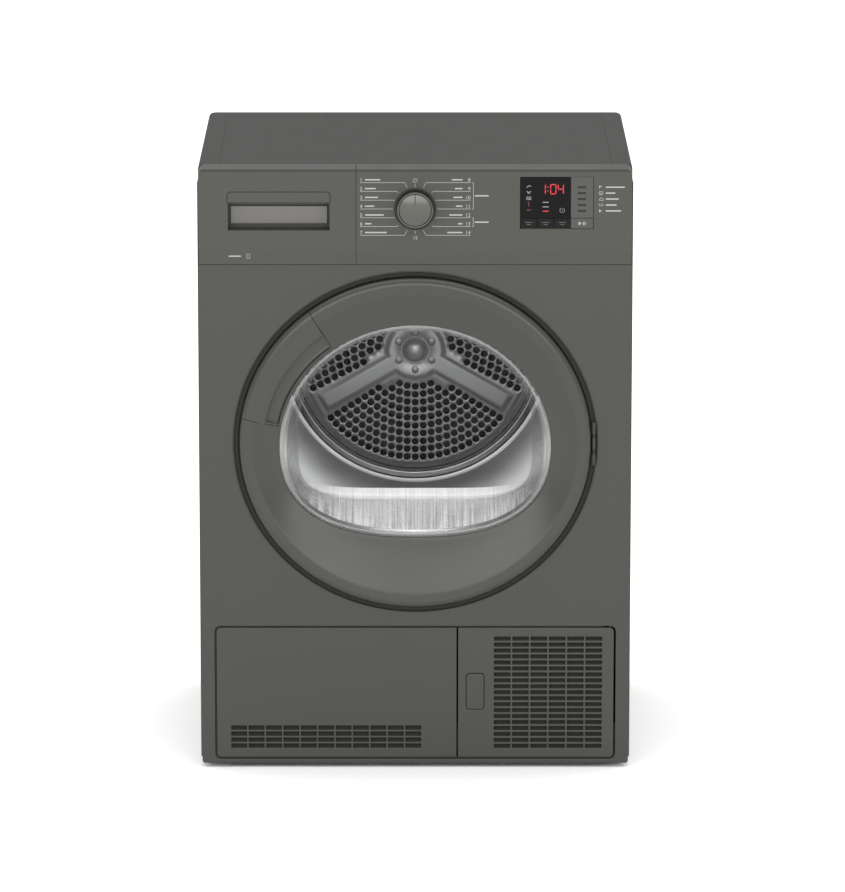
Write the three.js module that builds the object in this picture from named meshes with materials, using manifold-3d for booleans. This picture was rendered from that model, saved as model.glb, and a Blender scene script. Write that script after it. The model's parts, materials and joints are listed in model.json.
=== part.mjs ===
// A free-standing condenser clothes dryer with a round glass door, in millimetres.
// The origin is at floor level under the middle of the machine: +X is to the right as
// seen from the front, +Y runs from the front to the back, and +Z is up.
import * as THREE from 'three';
import { mergeVertices } from 'three/addons/utils/BufferGeometryUtils.js';
import Module from 'manifold-3d';

const wasm = await Module();
wasm.setup();

// ---------------------------------------------------------------- driving dimensions
const WIDTH = 598;
const HEIGHT = 846;
const DEPTH = 550;
const GAP = 0.3; // between two pieces that touch on the real machine
const SHEET = 1.5; // pressed steel
const DRUM_SHEET = 1; // stainless steel
const WALL = 3; // moulded plastic

const HALF = WIDTH / 2;
const BACK = DEPTH / 2; // rear of the duct cover
const KNOB_Y = -DEPTH / 2; // front of the programme knob
const FASCIA_Y = KNOB_Y + 15; // front of the control fascia
const PANEL_Y = FASCIA_Y + 5; // front of the sheet-steel front panel
const DOOR_Y = PANEL_Y - 8; // front of the door
const FRONT_HALF = HALF - 1.8; // the fascia and front panel stop short of the side panels
const SIDE_FRONT = PANEL_Y + 5;
const REAR_PANEL_Y = 238;

// control band
const FASCIA_BOTTOM = 714;
const CREASE_Z = 734; // below it the band leans back
const FASCIA_TOP_DEPTH = 50;
const SEAM_Y = FASCIA_Y + FASCIA_TOP_DEPTH; // where the worktop begins
const DRAWER_SPLIT = -81; // between the tank drawer and the fascia
const CORNER_R = 7;
const CONTROL_Z = 792; // centre of the knob
const KNOB_R = 25.9;
const KNOB_WELL_R = 29;
const WINDOW = { left: 144, middle: 213, right: 244, low: 765, split: 779, high: 836 };

// worktop
const TOP_UNDERSIDE = 828;
const TOP_BACK = FASCIA_Y + 518;
const INLAY_HALF = 271;
const INLAY_BACK = FASCIA_Y + 476;

// door, an ellipse a little wider than it is high
const DOOR_Z = 463.2;
const CREASE_CENTRE_Z = 461.2;
const RECESS = { a: 250.2, b: 239.2 };
const DOOR = { a: 243.4, b: 232.6 };
const BAND = { a: 236.4, b: 225.9 };
const CREASE = { a: 225, b: 212 };
const RECESS_DEPTH = 20;
const FLOOR_Y = PANEL_Y + RECESS_DEPTH; // front of the recess floor
const DOOR_BACK = FLOOR_Y - 4;
const GLASS = { half: 187.5, z: 458.4, up: 169, down: 130, flat: 2.5 };
const GLASS_Y = DOOR_Y + 13.5; // front edge of the glass opening
const HINGE = { x: 246.8, y: PANEL_Y - 3.3, z: DOOR_Z, barrel: 2.6, pin: 1.4 };
const HANDLE_FROM = THREE.MathUtils.degToRad(127);
const HANDLE_TO = THREE.MathUtils.degToRad(171);
const HANDLE_DEPTH = 14; // floor of the finger cup behind the door's front

// kick panel
const KICK = { half: 279, low: 12, high: 203, corner: 8, split: 58.7, groove: 2.5, thick: 3 };
const LATCH = { left: 71.5, right: 95.6, low: 83.7, high: 134.5 };
const FLAP_AXIS = { x: 271, y: PANEL_Y + 4.5 };

// drum
const DRUM_Z = 500;
const DRUM_R = 285;
const DRUM_FRONT = -203;
const DRUM_REAR = 205;
const BACK_DISC_R = 190;
const BACK_DISC_Y = 222;
const BULKHEAD_Y = -208; // front of the bulkhead plate
const BULKHEAD_R = 291;

// drive
const MOTOR = { x: -120, z: 110, r: 55, front: 20, rear: 130 };
const SHAFT_R = 6;
const PULLEY_R = 8;
const BELT = { front: 145.5, rear: 154.5, thick: 2, clear: 0.6 };
const IDLER_R = 18;
const ROLLER_R = 22;
const ROLLER_ANGLE = THREE.MathUtils.degToRad(28);

// ---------------------------------------------------------------- solids and outlines
function facingOut(geometry) {
  const p = geometry.attributes.position;
  const index = geometry.index;
  const corners = [new THREE.Vector3(), new THREE.Vector3(), new THREE.Vector3()];
  let volume = 0;
  for (let i = 0; i < index.count; i += 3) {
    corners.forEach((corner, k) => corner.fromBufferAttribute(p, index.getX(i + k)));
    volume += corners[0].dot(corners[1].clone().cross(corners[2]));
  }
  if (volume < 0) {
    for (let i = 0; i < index.count; i += 3) {
      const kept = index.getX(i);
      index.setX(i, index.getX(i + 2));
      index.setX(i + 2, kept);
    }
  }
  return geometry;
}

// shares the corners that coincide, and drops the triangles that this leaves with no area
function welded(geometry) {
  const bare = geometry.clone();
  bare.deleteAttribute('normal');
  bare.deleteAttribute('uv');
  const merged = mergeVertices(bare, 1e-4);
  const faces = [];
  for (let i = 0; i < merged.index.count; i += 3) {
    const [a, b, c] = [0, 1, 2].map((k) => merged.index.getX(i + k));
    if (a !== b && b !== c && c !== a) faces.push(a, b, c);
  }
  merged.setIndex(faces);
  return facingOut(merged);
}

// a closed mesh ready for cutting and joining
function solid(geometry) {
  const mesh = welded(geometry);
  return new wasm.Manifold(new wasm.Mesh({
    numProp: 3,
    vertProperties: new Float32Array(mesh.attributes.position.array),
    triVerts: new Uint32Array(mesh.index.array),
  }));
}

function joined(...solids) {
  return solids.reduce((all, one) => all.add(one));
}

function without(whole, ...cutters) {
  return cutters.reduce((rest, cutter) => rest.subtract(cutter), whole);
}

function block(x0, x1, y0, y1, z0, z1) {
  const box = new THREE.BoxGeometry(x1 - x0, y1 - y0, z1 - z0);
  box.translate((x0 + x1) / 2, (y0 + y1) / 2, (z0 + z1) / 2);
  return solid(box);
}

// an outline drawn in x and z, extruded from y = front to y = rear
function alongY(shape, front, rear, segments = 8) {
  const geometry = new THREE.ExtrudeGeometry(shape, {
    depth: rear - front, bevelEnabled: false, curveSegments: segments,
  });
  geometry.rotateX(Math.PI / 2);
  geometry.translate(0, rear, 0);
  return solid(geometry);
}

// an outline drawn in x and y, extruded from z = low to z = high
function alongZ(shape, low, high, segments = 8) {
  const geometry = new THREE.ExtrudeGeometry(shape, {
    depth: high - low, bevelEnabled: false, curveSegments: segments,
  });
  geometry.translate(0, 0, low);
  return solid(geometry);
}

// an outline drawn in y and z, extruded from x = left to x = right
function alongX(shape, left, right, segments = 8) {
  const geometry = new THREE.ExtrudeGeometry(shape, {
    depth: right - left, bevelEnabled: false, curveSegments: segments,
  });
  const turn = new THREE.Matrix4().makeBasis(
    new THREE.Vector3(0, 1, 0), new THREE.Vector3(0, 0, 1), new THREE.Vector3(1, 0, 0),
  );
  geometry.applyMatrix4(turn);
  geometry.translate(left, 0, 0);
  return solid(geometry);
}

// a profile of [radius, y] pairs turned about the line x, z
function turned(profile, x, z, segments = 24) {
  const points = profile.map(([r, y]) => new THREE.Vector2(r, y));
  const geometry = new THREE.LatheGeometry(points, segments);
  geometry.translate(x, 0, z);
  return solid(geometry);
}

// a profile of [radius, z] pairs turned about the vertical line x, y
function turnedUpright(profile, x, y, segments = 20) {
  const points = profile.map(([r, z]) => new THREE.Vector2(r, z));
  const geometry = new THREE.LatheGeometry(points, segments);
  geometry.rotateX(Math.PI / 2);
  geometry.translate(x, y, 0);
  return solid(geometry);
}

function rod(r, x, z, front, rear, segments = 20) {
  return turned([[0, front], [r, front], [r, rear], [0, rear]], x, z, segments);
}

function uprightRod(r, x, y, low, high, segments = 16) {
  return turnedUpright([[0, low], [r, low], [r, high], [0, high]], x, y, segments);
}

function tube(inner, outer, x, z, front, rear, segments = 24) {
  const profile = [[inner, front], [outer, front], [outer, rear], [inner, rear], [inner, front]];
  return turned(profile, x, z, segments);
}

function polygon(points) {
  return new THREE.Shape(points.map(([u, v]) => new THREE.Vector2(u, v)));
}

function rectangle(x0, x1, z0, z1) {
  return polygon([[x0, z0], [x1, z0], [x1, z1], [x0, z1]]);
}

// a rectangle whose corners have the radii lowLeft, lowRight, highRight, highLeft
function roundedRectangle(x0, x1, z0, z1, [ll, lr, hr, hl]) {
  const shape = new THREE.Shape();
  shape.moveTo(x0 + ll, z0);
  shape.lineTo(x1 - lr, z0);
  if (lr) shape.absarc(x1 - lr, z0 + lr, lr, -Math.PI / 2, 0);
  shape.lineTo(x1, z1 - hr);
  if (hr) shape.absarc(x1 - hr, z1 - hr, hr, 0, Math.PI / 2);
  shape.lineTo(x0 + hl, z1);
  if (hl) shape.absarc(x0 + hl, z1 - hl, hl, Math.PI / 2, Math.PI);
  shape.lineTo(x0, z0 + ll);
  if (ll) shape.absarc(x0 + ll, z0 + ll, ll, Math.PI, 1.5 * Math.PI);
  return shape;
}

function allCorners(r) {
  return [r, r, r, r];
}

function ellipse({ a, b }, z) {
  return new THREE.Shape().absellipse(0, z, a, b, 0, 2 * Math.PI);
}

// the point of an ellipse at angle t
function onEllipse({ a, b }, z, t) {
  return [a * Math.cos(t), z + b * Math.sin(t)];
}

// the loading opening at angle t: round above, flattened below, moved outwards by grow
function onOpening(t, grow = 0, frame = GLASS) {
  const power = 2 / (Math.sin(t) < 0 ? frame.flat : 2);
  const reach = (Math.sin(t) < 0 ? frame.down : frame.up) + grow;
  const bend = (value) => Math.sign(value) * Math.abs(value) ** power;
  return [(frame.half + grow) * bend(Math.cos(t)), frame.z + reach * bend(Math.sin(t))];
}

function openingShape(grow, steps = 40) {
  const angles = Array.from({ length: steps }, (_, i) => (2 * Math.PI * i) / steps);
  return polygon(angles.map((t) => onOpening(t, grow)));
}

// triangles that fill a flat outline, all running the same way round as the outline
function fillOf(outline) {
  const corners = outline.map(([u, v]) => new THREE.Vector2(u, v));
  const way = Math.sign(THREE.ShapeUtils.area(corners));
  return THREE.ShapeUtils.triangulateShape(corners, []).map((face) => (
    Math.sign(THREE.ShapeUtils.area(face.map((i) => corners[i]))) === way ? face : face.reverse()
  ));
}

// joins closed rings of equal length into one skin, endless or filled at both ends
function skin(rings, endFill) {
  const around = rings[0].length;
  const faces = [];
  const last = endFill ? rings.length - 1 : rings.length;
  for (let r = 0; r < last; r += 1) {
    const next = (r + 1) % rings.length;
    for (let i = 0; i < around; i += 1) {
      const j = (i + 1) % around;
      const [a, b] = [r * around + i, r * around + j];
      const [c, d] = [next * around + j, next * around + i];
      faces.push(a, b, c, a, c, d);
    }
  }
  (endFill ?? []).forEach(([a, b, c]) => {
    faces.push(c, b, a);
    faces.push(...[a, b, c].map((i) => i + last * around));
  });
  const geometry = new THREE.BufferGeometry();
  geometry.setAttribute('position', new THREE.Float32BufferAttribute(rings.flat(2), 3));
  geometry.setIndex(faces);
  return solid(geometry);
}

// a ring of points at depth y, from a function of the angle that gives [x, z]
function ringAt(y, outline, steps = 48) {
  return Array.from({ length: steps }, (_, i) => {
    const [x, z] = outline((2 * Math.PI * i) / steps);
    return [x, y, z];
  });
}

// across the door's front: share -1 is its outer edge, 0 the crease where the slope
// begins, and 1 the edge of the glass
function onSlope(t, share) {
  const [x0, z0] = onEllipse(CREASE, CREASE_CENTRE_Z, t);
  const [x1, z1] = share < 0 ? onEllipse(DOOR, DOOR_Z, t) : onOpening(t);
  const part = Math.abs(share);
  return [x0 + (x1 - x0) * part, z0 + (z1 - z0) * part];
}

function slopeY(share) {
  return DOOR_Y + (GLASS_Y - DOOR_Y) * (1 - (1 - share) ** 1.6);
}

// a section of [share, y] pairs run round the slope between two angles
function alongSlope(section, from, to, steps = 10) {
  const rings = Array.from({ length: steps + 1 }, (_, i) => {
    const t = from + ((to - from) * i) / steps;
    return section.map(([share, y]) => {
      const [x, z] = onSlope(t, share);
      return [x, y, z];
    });
  });
  return skin(rings, fillOf(section));
}

// bars that cut an even grid of slots through whatever lies between front and rear
function slotCutters([x0, x1, columns, width], [z0, z1, rows, height], front, rear) {
  const bars = [];
  for (let i = 0; i < columns; i += 1) {
    const left = x0 + ((x1 - width - x0) * i) / (columns - 1);
    for (let k = 0; k < rows; k += 1) {
      const low = z0 + ((z1 - height - z0) * k) / (rows - 1);
      bars.push(block(left, left + width, front - 1, rear + 1, low, low + height));
    }
  }
  return joined(...bars);
}

function spunAbout(one, x, z, angle) {
  return one.translate([-x, 0, -z]).rotate([0, THREE.MathUtils.radToDeg(angle), 0])
    .translate([x, 0, z]);
}

// ---------------------------------------------------------------- finishes
function finish(color, roughness, metalness = 0) {
  return () => new THREE.MeshStandardMaterial({ color, roughness, metalness });
}

const bodyPaint = finish(0x5d5d59, 0.45, 0.4);
const topPlastic = finish(0x60605f, 0.5);
const fasciaPlastic = finish(0x656561, 0.45, 0.2);
const darkPlastic = finish(0x2e2e2f, 0.5);
const blackGloss = finish(0x1b1b1d, 0.15);
const palePlastic = finish(0xb9bab8, 0.6);
const stainless = finish(0xc4c4c2, 0.25, 1);
const zincSteel = finish(0x9a9c9e, 0.45, 1);
const aluminium = finish(0xb7babd, 0.35, 1);
const rubber = finish(0x232324, 0.85);
const circuitGreen = finish(0x21493a, 0.6);

function glassMaterial() {
  return new THREE.MeshStandardMaterial({
    color: 0xdfe6e6, roughness: 0.05, metalness: 0, transparent: true, opacity: 0.35,
  });
}

// ---------------------------------------------------------------- cabinet
function sidePanel(side) {
  const flange = 12;
  const profile = polygon([
    [HALF, SIDE_FRONT], [HALF, REAR_PANEL_Y - GAP], [HALF - flange, REAR_PANEL_Y - GAP],
    [HALF - flange, REAR_PANEL_Y - GAP - SHEET], [HALF - SHEET, REAR_PANEL_Y - GAP - SHEET],
    [HALF - SHEET, SIDE_FRONT + SHEET], [HALF - flange, SIDE_FRONT + SHEET],
    [HALF - flange, SIDE_FRONT],
  ].map(([x, y]) => [side * x, y]));
  const inner = HALF - SHEET;
  const behindBand = block(-inner, inner, SIDE_FRONT - 1, SIDE_FRONT + 5,
    FASCIA_BOTTOM - 1, HEIGHT);
  return alongZ(profile, 14, TOP_UNDERSIDE - GAP).subtract(behindBand);
}

function worktopFrame() {
  const corner = 8;
  const shape = new THREE.Shape();
  shape.moveTo(-HALF, SEAM_Y + GAP);
  shape.lineTo(-INLAY_HALF, SEAM_Y + GAP);
  shape.lineTo(-INLAY_HALF, INLAY_BACK);
  shape.lineTo(INLAY_HALF, INLAY_BACK);
  shape.lineTo(INLAY_HALF, SEAM_Y + GAP);
  shape.lineTo(HALF, SEAM_Y + GAP);
  shape.lineTo(HALF, TOP_BACK - corner);
  shape.absarc(HALF - corner, TOP_BACK - corner, corner, 0, Math.PI / 2);
  shape.lineTo(corner - HALF, TOP_BACK);
  shape.absarc(corner - HALF, TOP_BACK - corner, corner, Math.PI / 2, Math.PI);
  return alongZ(shape, TOP_UNDERSIDE, HEIGHT, 4);
}

function worktopInlay() {
  const half = INLAY_HALF - GAP;
  return block(-half, half, SEAM_Y + GAP, INLAY_BACK - GAP, TOP_UNDERSIDE + 1, HEIGHT - 0.4);
}

// the band's outside, in y and z: front face, rounded top edge, chin that leans back
function bandProfile() {
  const edge = 5;
  const shape = new THREE.Shape();
  shape.moveTo(PANEL_Y, FASCIA_BOTTOM);
  shape.lineTo(SEAM_Y, FASCIA_BOTTOM);
  shape.lineTo(SEAM_Y, HEIGHT);
  shape.lineTo(FASCIA_Y + edge, HEIGHT);
  shape.absarc(FASCIA_Y + edge, HEIGHT - edge, edge, Math.PI / 2, Math.PI);
  shape.lineTo(FASCIA_Y, CREASE_Z);
  return shape;
}

function bandInside() {
  return polygon([
    [PANEL_Y + WALL, FASCIA_BOTTOM - 1], [SEAM_Y + 1, FASCIA_BOTTOM - 1],
    [SEAM_Y + 1, HEIGHT - WALL], [FASCIA_Y + WALL, HEIGHT - WALL],
    [FASCIA_Y + WALL, CREASE_Z], [PANEL_Y + WALL, FASCIA_BOTTOM],
  ]);
}

// a length of the control band: a shell open to the back and below, one corner rounded
function bandShell(left, right, corners) {
  const front = roundedRectangle(left, right, FASCIA_BOTTOM - 1, HEIGHT, corners);
  const outside = alongX(bandProfile(), left, right, 5)
    .intersect(alongY(front, FASCIA_Y - 1, SEAM_Y + 1, 5));
  return outside.subtract(alongX(bandInside(), left + WALL, right - WALL));
}

function controlFascia() {
  const shell = bandShell(DRAWER_SPLIT + GAP, FRONT_HALF, [0, 0, CORNER_R, 0]);
  const well = rod(KNOB_WELL_R, 0, CONTROL_Z, FASCIA_Y - 1, FASCIA_Y + 1.5, 36);
  const spindleHole = rod(5, 0, CONTROL_Z, FASCIA_Y - 1, FASCIA_Y + 6, 16);
  const clear = 0.4;
  const window = block(
    WINDOW.left - clear, WINDOW.right + clear, FASCIA_Y - 1, FASCIA_Y + 6,
    WINDOW.low - clear, WINDOW.high + clear,
  );
  return without(shell, well, spindleHole, window);
}

const GRIP = { left: -257, right: -117, low: 762, lip: 801, high: 815, depth: 24, wall: 2 };

function drawerFront() {
  const shell = bandShell(-FRONT_HALF, DRAWER_SPLIT - GAP, [0, 0, 0, CORNER_R]);
  const pocketBack = FASCIA_Y + GRIP.depth;
  const pocket = block(
    GRIP.left - GRIP.wall, GRIP.right + GRIP.wall, FASCIA_Y + 1, pocketBack + GRIP.wall,
    GRIP.low - GRIP.wall, GRIP.high + GRIP.wall,
  );
  const hollow = block(
    GRIP.left, GRIP.right, FASCIA_Y + WALL, pocketBack, GRIP.low, GRIP.high,
  );
  const mouth = block(GRIP.left, GRIP.right, FASCIA_Y - 1, FASCIA_Y + 5, GRIP.low, GRIP.lip);
  return without(joined(shell, pocket), hollow, mouth);
}

const TANK = { left: -288, right: -96, low: 780, high: 826, rear: 200, wall: 2 };

function waterTank() {
  const front = FASCIA_Y + GRIP.depth + GRIP.wall + GAP;
  const { wall } = TANK;
  const outside = block(TANK.left, TANK.right, front, TANK.rear, TANK.low, TANK.high);
  const inside = block(
    TANK.left + wall, TANK.right - wall, front + wall, TANK.rear - wall,
    TANK.low + wall, TANK.high - wall,
  );
  const spout = uprightRod(20, -150, -180, TANK.high - 5, TANK.high + 5, 20);
  return without(outside, inside, spout);
}

function tankGuide() {
  const clear = 1.5;
  const profile = polygon([
    [TANK.left - clear - SHEET, TANK.high], [TANK.left - clear - SHEET, TANK.low - clear - SHEET],
    [TANK.right + clear + SHEET, TANK.low - clear - SHEET], [TANK.right + clear + SHEET, TANK.high],
    [TANK.right + clear, TANK.high], [TANK.right + clear, TANK.low - clear],
    [TANK.left - clear, TANK.low - clear], [TANK.left - clear, TANK.high],
  ]);
  const stop = block(
    TANK.left - clear - SHEET, TANK.right + clear + SHEET, TANK.rear + 2, TANK.rear + 4,
    TANK.low - clear - SHEET, TANK.high,
  );
  return joined(alongY(profile, SEAM_Y + 1, TANK.rear + 3), stop);
}

function frontPanel() {
  const low = 6;
  const outline = roundedRectangle(-FRONT_HALF, FRONT_HALF, low, FASCIA_BOTTOM - 0.5, [4, 4, 0, 0]);
  outline.holes.push(
    roundedRectangle(-KICK.half, KICK.half, KICK.low, KICK.high, allCorners(KICK.corner)),
  );
  const doorHole = alongY(ellipse(RECESS, DOOR_Z), PANEL_Y - 1, PANEL_Y + 3, 24);
  const plate = alongY(outline, PANEL_Y, PANEL_Y + SHEET, 3).subtract(doorHole);
  const edges = [-1, 1].map((side) => {
    const middle = side * (FRONT_HALF - SHEET);
    const half = SHEET / 2;
    return block(middle - half, middle + half, PANEL_Y + half, SIDE_FRONT - GAP,
      low + 5, FASCIA_BOTTOM - 1);
  });
  const wide = { a: RECESS.a + SHEET, b: RECESS.b + SHEET };
  const wall = ellipse(wide, DOOR_Z);
  wall.holes.push(ellipse(RECESS, DOOR_Z));
  const floor = ellipse(wide, DOOR_Z);
  floor.holes.push(openingShape(13));
  const hookHole = block(-231, -213, FLOOR_Y - 1, FLOOR_Y + 3, 454, 472);
  const dish = joined(
    alongY(wall, PANEL_Y, FLOOR_Y + SHEET, 24), alongY(floor, FLOOR_Y, FLOOR_Y + SHEET, 24),
  );
  return without(joined(plate, ...edges, dish), hookHole);
}

const FOOT = { x: 255, front: -195, rear: 190, r: 19, pocket: 23, stem: 5 };
const FOOT_PLACES = [
  ['front_left', -FOOT.x, FOOT.front], ['front_right', FOOT.x, FOOT.front],
  ['rear_left', -FOOT.x, FOOT.rear], ['rear_right', FOOT.x, FOOT.rear],
];

function baseTray() {
  const [low, floor, rim] = [4, 8, 60];
  const outside = block(-290, 290, -240, 232, low, rim);
  const inside = block(-286, 286, -236, 228, floor, rim + 1);
  const lip = block(-257, 257, PANEL_Y + WALL + 1, -239, low - 0.5, KICK.low - 0.5);
  const bosses = FOOT_PLACES.map(([, x, y]) => uprightRod(26, x, y, low, 34, 20));
  const pockets = FOOT_PLACES.map(([, x, y]) => uprightRod(FOOT.pocket, x, y, low - 1, 12, 20));
  const stemHoles = FOOT_PLACES.map(([, x, y]) => uprightRod(FOOT.stem + 0.5, x, y, 11, 31, 12));
  const cradles = [MOTOR.front + 8, MOTOR.rear - 14].map((y) => (
    block(MOTOR.x - 50, MOTOR.x + 50, y, y + 6, floor - 1, 75)
  ));
  const motorSpace = rod(MOTOR.r + 0.5, MOTOR.x, MOTOR.z, MOTOR.front - 5, MOTOR.rear + 5, 32);
  const rails = [[90, 98], [254, 262]].map(([x0, x1]) => (
    block(x0, x1, -160, 120, floor - 1, EXCHANGER.low - GAP)
  ));
  const tray = joined(outside.subtract(inside), lip, ...bosses, ...cradles, ...rails);
  const exchangerWay = block(
    EXCHANGER.left - 12, EXCHANGER.right + 12, -241, -235, KICK.low, rim + 1,
  );
  return without(tray, ...pockets, ...stemHoles, motorSpace, exchangerWay);
}

function foot(x, y) {
  const profile = [[0, 0], [FOOT.r, 0], [FOOT.r, 9], [FOOT.stem, 9], [FOOT.stem, 29], [0, 29]];
  return turnedUpright(profile, x, y, 14);
}

// ---------------------------------------------------------------- controls
function programmeKnob() {
  const [back, front] = [FASCIA_Y + 1, KNOB_Y];
  const stem = { r: 3, end: FASCIA_Y + 18 };
  const profile = [
    [0, front + 1], [22, front + 1], [23.4, front], [KNOB_R - 1, front + 0.6],
    [KNOB_R, front + 3], [KNOB_R + 0.6, back - GAP], [stem.r, back - GAP],
    [stem.r, stem.end], [0, stem.end],
  ];
  return turned(profile, 0, CONTROL_Z, 36);
}

function windowPiece(left, right) {
  const proud = 0.3;
  return block(left + 0.2, right - 0.2, FASCIA_Y - proud, FASCIA_Y + WALL + 1,
    WINDOW.split + 0.4, WINDOW.high);
}

function key(left, right) {
  const proud = 0.6;
  return block(left + 0.3, right - 0.3, FASCIA_Y - proud, FASCIA_Y + 8,
    WINDOW.low, WINDOW.split);
}

function interfaceBoard() {
  const board = block(-60, 285, FASCIA_Y + 20, FASCIA_Y + 21.6, 748, 838);
  const selector = rod(11, 0, CONTROL_Z, FASCIA_Y + 21, FASCIA_Y + 32, 16);
  const display = block(150, 240, FASCIA_Y + 5, FASCIA_Y + 21, WINDOW.split + 4, WINDOW.high - 3);
  return joined(board, selector, display);
}

// ---------------------------------------------------------------- kick panel
function kickPlate(left, right, corners, columns, rows) {
  const outline = roundedRectangle(
    left, right, KICK.low + KICK.groove, KICK.high - KICK.groove, corners,
  );
  const [front, rear] = [PANEL_Y, PANEL_Y + KICK.thick];
  return alongY(outline, front, rear, 3).subtract(slotCutters(columns, rows, front, rear));
}

function kickCover() {
  const corner = KICK.corner - KICK.groove;
  const left = KICK.groove - KICK.half;
  return kickPlate(left, KICK.split - 0.5, [corner, 0, 0, corner],
    [-256.5, 8, 11, 21.5], [27.9, 59.7, 4, 5.9]);
}

function kickFlap() {
  const corner = KICK.corner - KICK.groove;
  const clear = 0.4;
  const latchHole = block(
    LATCH.left - clear, LATCH.right + clear, PANEL_Y - 1, PANEL_Y + KICK.thick + 1,
    LATCH.low - clear, LATCH.high + clear,
  );
  const right = KICK.half - KICK.groove;
  const plate = kickPlate(KICK.split + 0.5, right, [0, corner, corner, 0],
    [109.9, 259.9, 6, 22.6], [27.7, 187.5, 19, 5.4]).subtract(latchHole);
  const pinY = FLAP_AXIS.y + 0.4;
  const pins = [
    uprightRod(2, FLAP_AXIS.x, pinY, KICK.low - 5, KICK.low + 12, 12),
    uprightRod(2, FLAP_AXIS.x, pinY, KICK.high - 12, KICK.high + 5, 12),
  ];
  const lugs = [KICK.low + 4, KICK.high - 11].map((z) => (
    block(FLAP_AXIS.x - 2, FLAP_AXIS.x + 2, PANEL_Y + 2, pinY, z, z + 7)
  ));
  return joined(plate, ...pins, ...lugs);
}

function flapLatch() {
  const button = block(LATCH.left, LATCH.right, PANEL_Y - 0.4, PANEL_Y + 7, LATCH.low, LATCH.high);
  const tongueZ = (LATCH.low + LATCH.high) / 2;
  const tongue = block(LATCH.left - 8, LATCH.left + 2, PANEL_Y + 4.5, PANEL_Y + 6.5,
    tongueZ - 8, tongueZ + 8);
  return joined(button, tongue);
}

const EXCHANGER = { left: 88, right: 264, front: -234, rear: 125, low: 36, high: 187 };

function heatExchanger() {
  const { left, right, front, rear, low, high } = EXCHANGER;
  const rim = 2.4;
  const [across, tall] = [84.4, 14.6];
  const channels = slotCutters(
    [left + rim, right - rim, 2, across], [low + rim, high - rim, 9, tall], front, rear,
  );
  return block(left, right, front, rear, low, high).subtract(channels);
}

function exchangerLever(z) {
  const [x, face] = [EXCHANGER.right - 20, EXCHANGER.front - GAP];
  const blade = roundedRectangle(x - 26, x + 7, z - 6, z + 6, allCorners(5));
  const bar = alongY(blade, face - 5, face, 3);
  const fin = block(x - 24, x - 8, face - 11, face - 4, z - 2, z + 2);
  return joined(bar, fin);
}

// ---------------------------------------------------------------- door
function outerFrame() {
  const doorRing = (size, y) => ringAt(y, (t) => onEllipse(size, DOOR_Z, t));
  const slopeRing = (share, y) => ringAt(y, (t) => onSlope(t, share));
  const inner = { a: DOOR.a - WALL, b: DOOR.b - WALL };
  const rings = [
    doorRing(DOOR, DOOR_BACK), doorRing(DOOR, DOOR_Y + 6.5),
    doorRing({ a: DOOR.a - 2.4, b: DOOR.b - 2.4 }, DOOR_Y + 2), doorRing(BAND, DOOR_Y),
    slopeRing(0, DOOR_Y), slopeRing(0.35, slopeY(0.35)), slopeRing(0.7, slopeY(0.7)),
    slopeRing(1, GLASS_Y), slopeRing(1, GLASS_Y + WALL), slopeRing(0.6, slopeY(0.6) + WALL),
    slopeRing(0.1, DOOR_Y + WALL + 1), doorRing(inner, DOOR_Y + WALL + 3),
    doorRing(inner, DOOR_BACK),
  ];
  const [near, far] = [DOOR_Y - 5, DOOR_Y + HANDLE_DEPTH + 2.6];
  const gripSpace = alongSlope([
    [-1.3, near], [0.97, near], [0.97, far], [-0.1, far], [-0.1, DOOR_Y + 9], [-1.3, DOOR_Y + 9],
  ], HANDLE_FROM, HANDLE_TO);
  return skin(rings).subtract(gripSpace);
}

// a length of the door's rim that overhangs a cup sunk in the slope
function doorHandle() {
  const floor = DOOR_Y + HANDLE_DEPTH;
  const edge = 0.94;
  const grip = 0.4;
  const under = DOOR_Y + 4.5;
  const section = [
    [-1, DOOR_Y + 8.5], [-1, DOOR_Y + 6.5], [-0.87, DOOR_Y + 2], [-0.62, DOOR_Y], [0, DOOR_Y],
    [grip, DOOR_Y + 1.5], [grip, under], [0.1, under], [0.1, floor],
    [edge - 0.05, floor], [edge - 0.05, slopeY(edge)], [edge, slopeY(edge)],
    [edge, floor + 2], [0, floor + 2], [0, under], [-0.84, under], [-0.84, DOOR_Y + 8.5],
  ];
  const trim = 0.003;
  const cup = alongSlope(section, HANDLE_FROM + trim, HANDLE_TO - trim);
  const cheekSection = [
    [0.05, DOOR_Y + 2.7], [0.3, DOOR_Y + 2.7], [0.92, slopeY(edge) + 0.5], [0.92, floor + 1],
    [0.05, floor + 1],
  ];
  const inset = trim + 0.002;
  const cheek = 0.014;
  return joined(
    cup,
    alongSlope(cheekSection, HANDLE_FROM + inset, HANDLE_FROM + inset + cheek, 2),
    alongSlope(cheekSection, HANDLE_TO - inset - cheek, HANDLE_TO - inset, 2),
  );
}

function innerFrame() {
  const size = { a: DOOR.a - WALL - 0.6, b: DOOR.b - WALL - 0.6 };
  const front = DOOR_BACK - 3.4;
  return skin([
    ringAt(front, (t) => onEllipse(size, DOOR_Z, t)),
    ringAt(DOOR_BACK, (t) => onEllipse(size, DOOR_Z, t)),
    ringAt(DOOR_BACK, (t) => onOpening(t, 1.5)),
    ringAt(front, (t) => onOpening(t, 1.5)),
  ]);
}

// the bowl's rings from the rim inwards: [depth, half width, top, bottom, how flat it is below]
const BOWL = [
  [0, 184.5, 624.4, 331.4, 2.5], [9, 178, 618, 337, 2.5], [50, 174, 613, 347, 3.3],
  [95, 170, 607, 359, 4.6], [107, 156, 592, 374, 4.2], [112, 80, 520, 430, 3],
];

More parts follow.
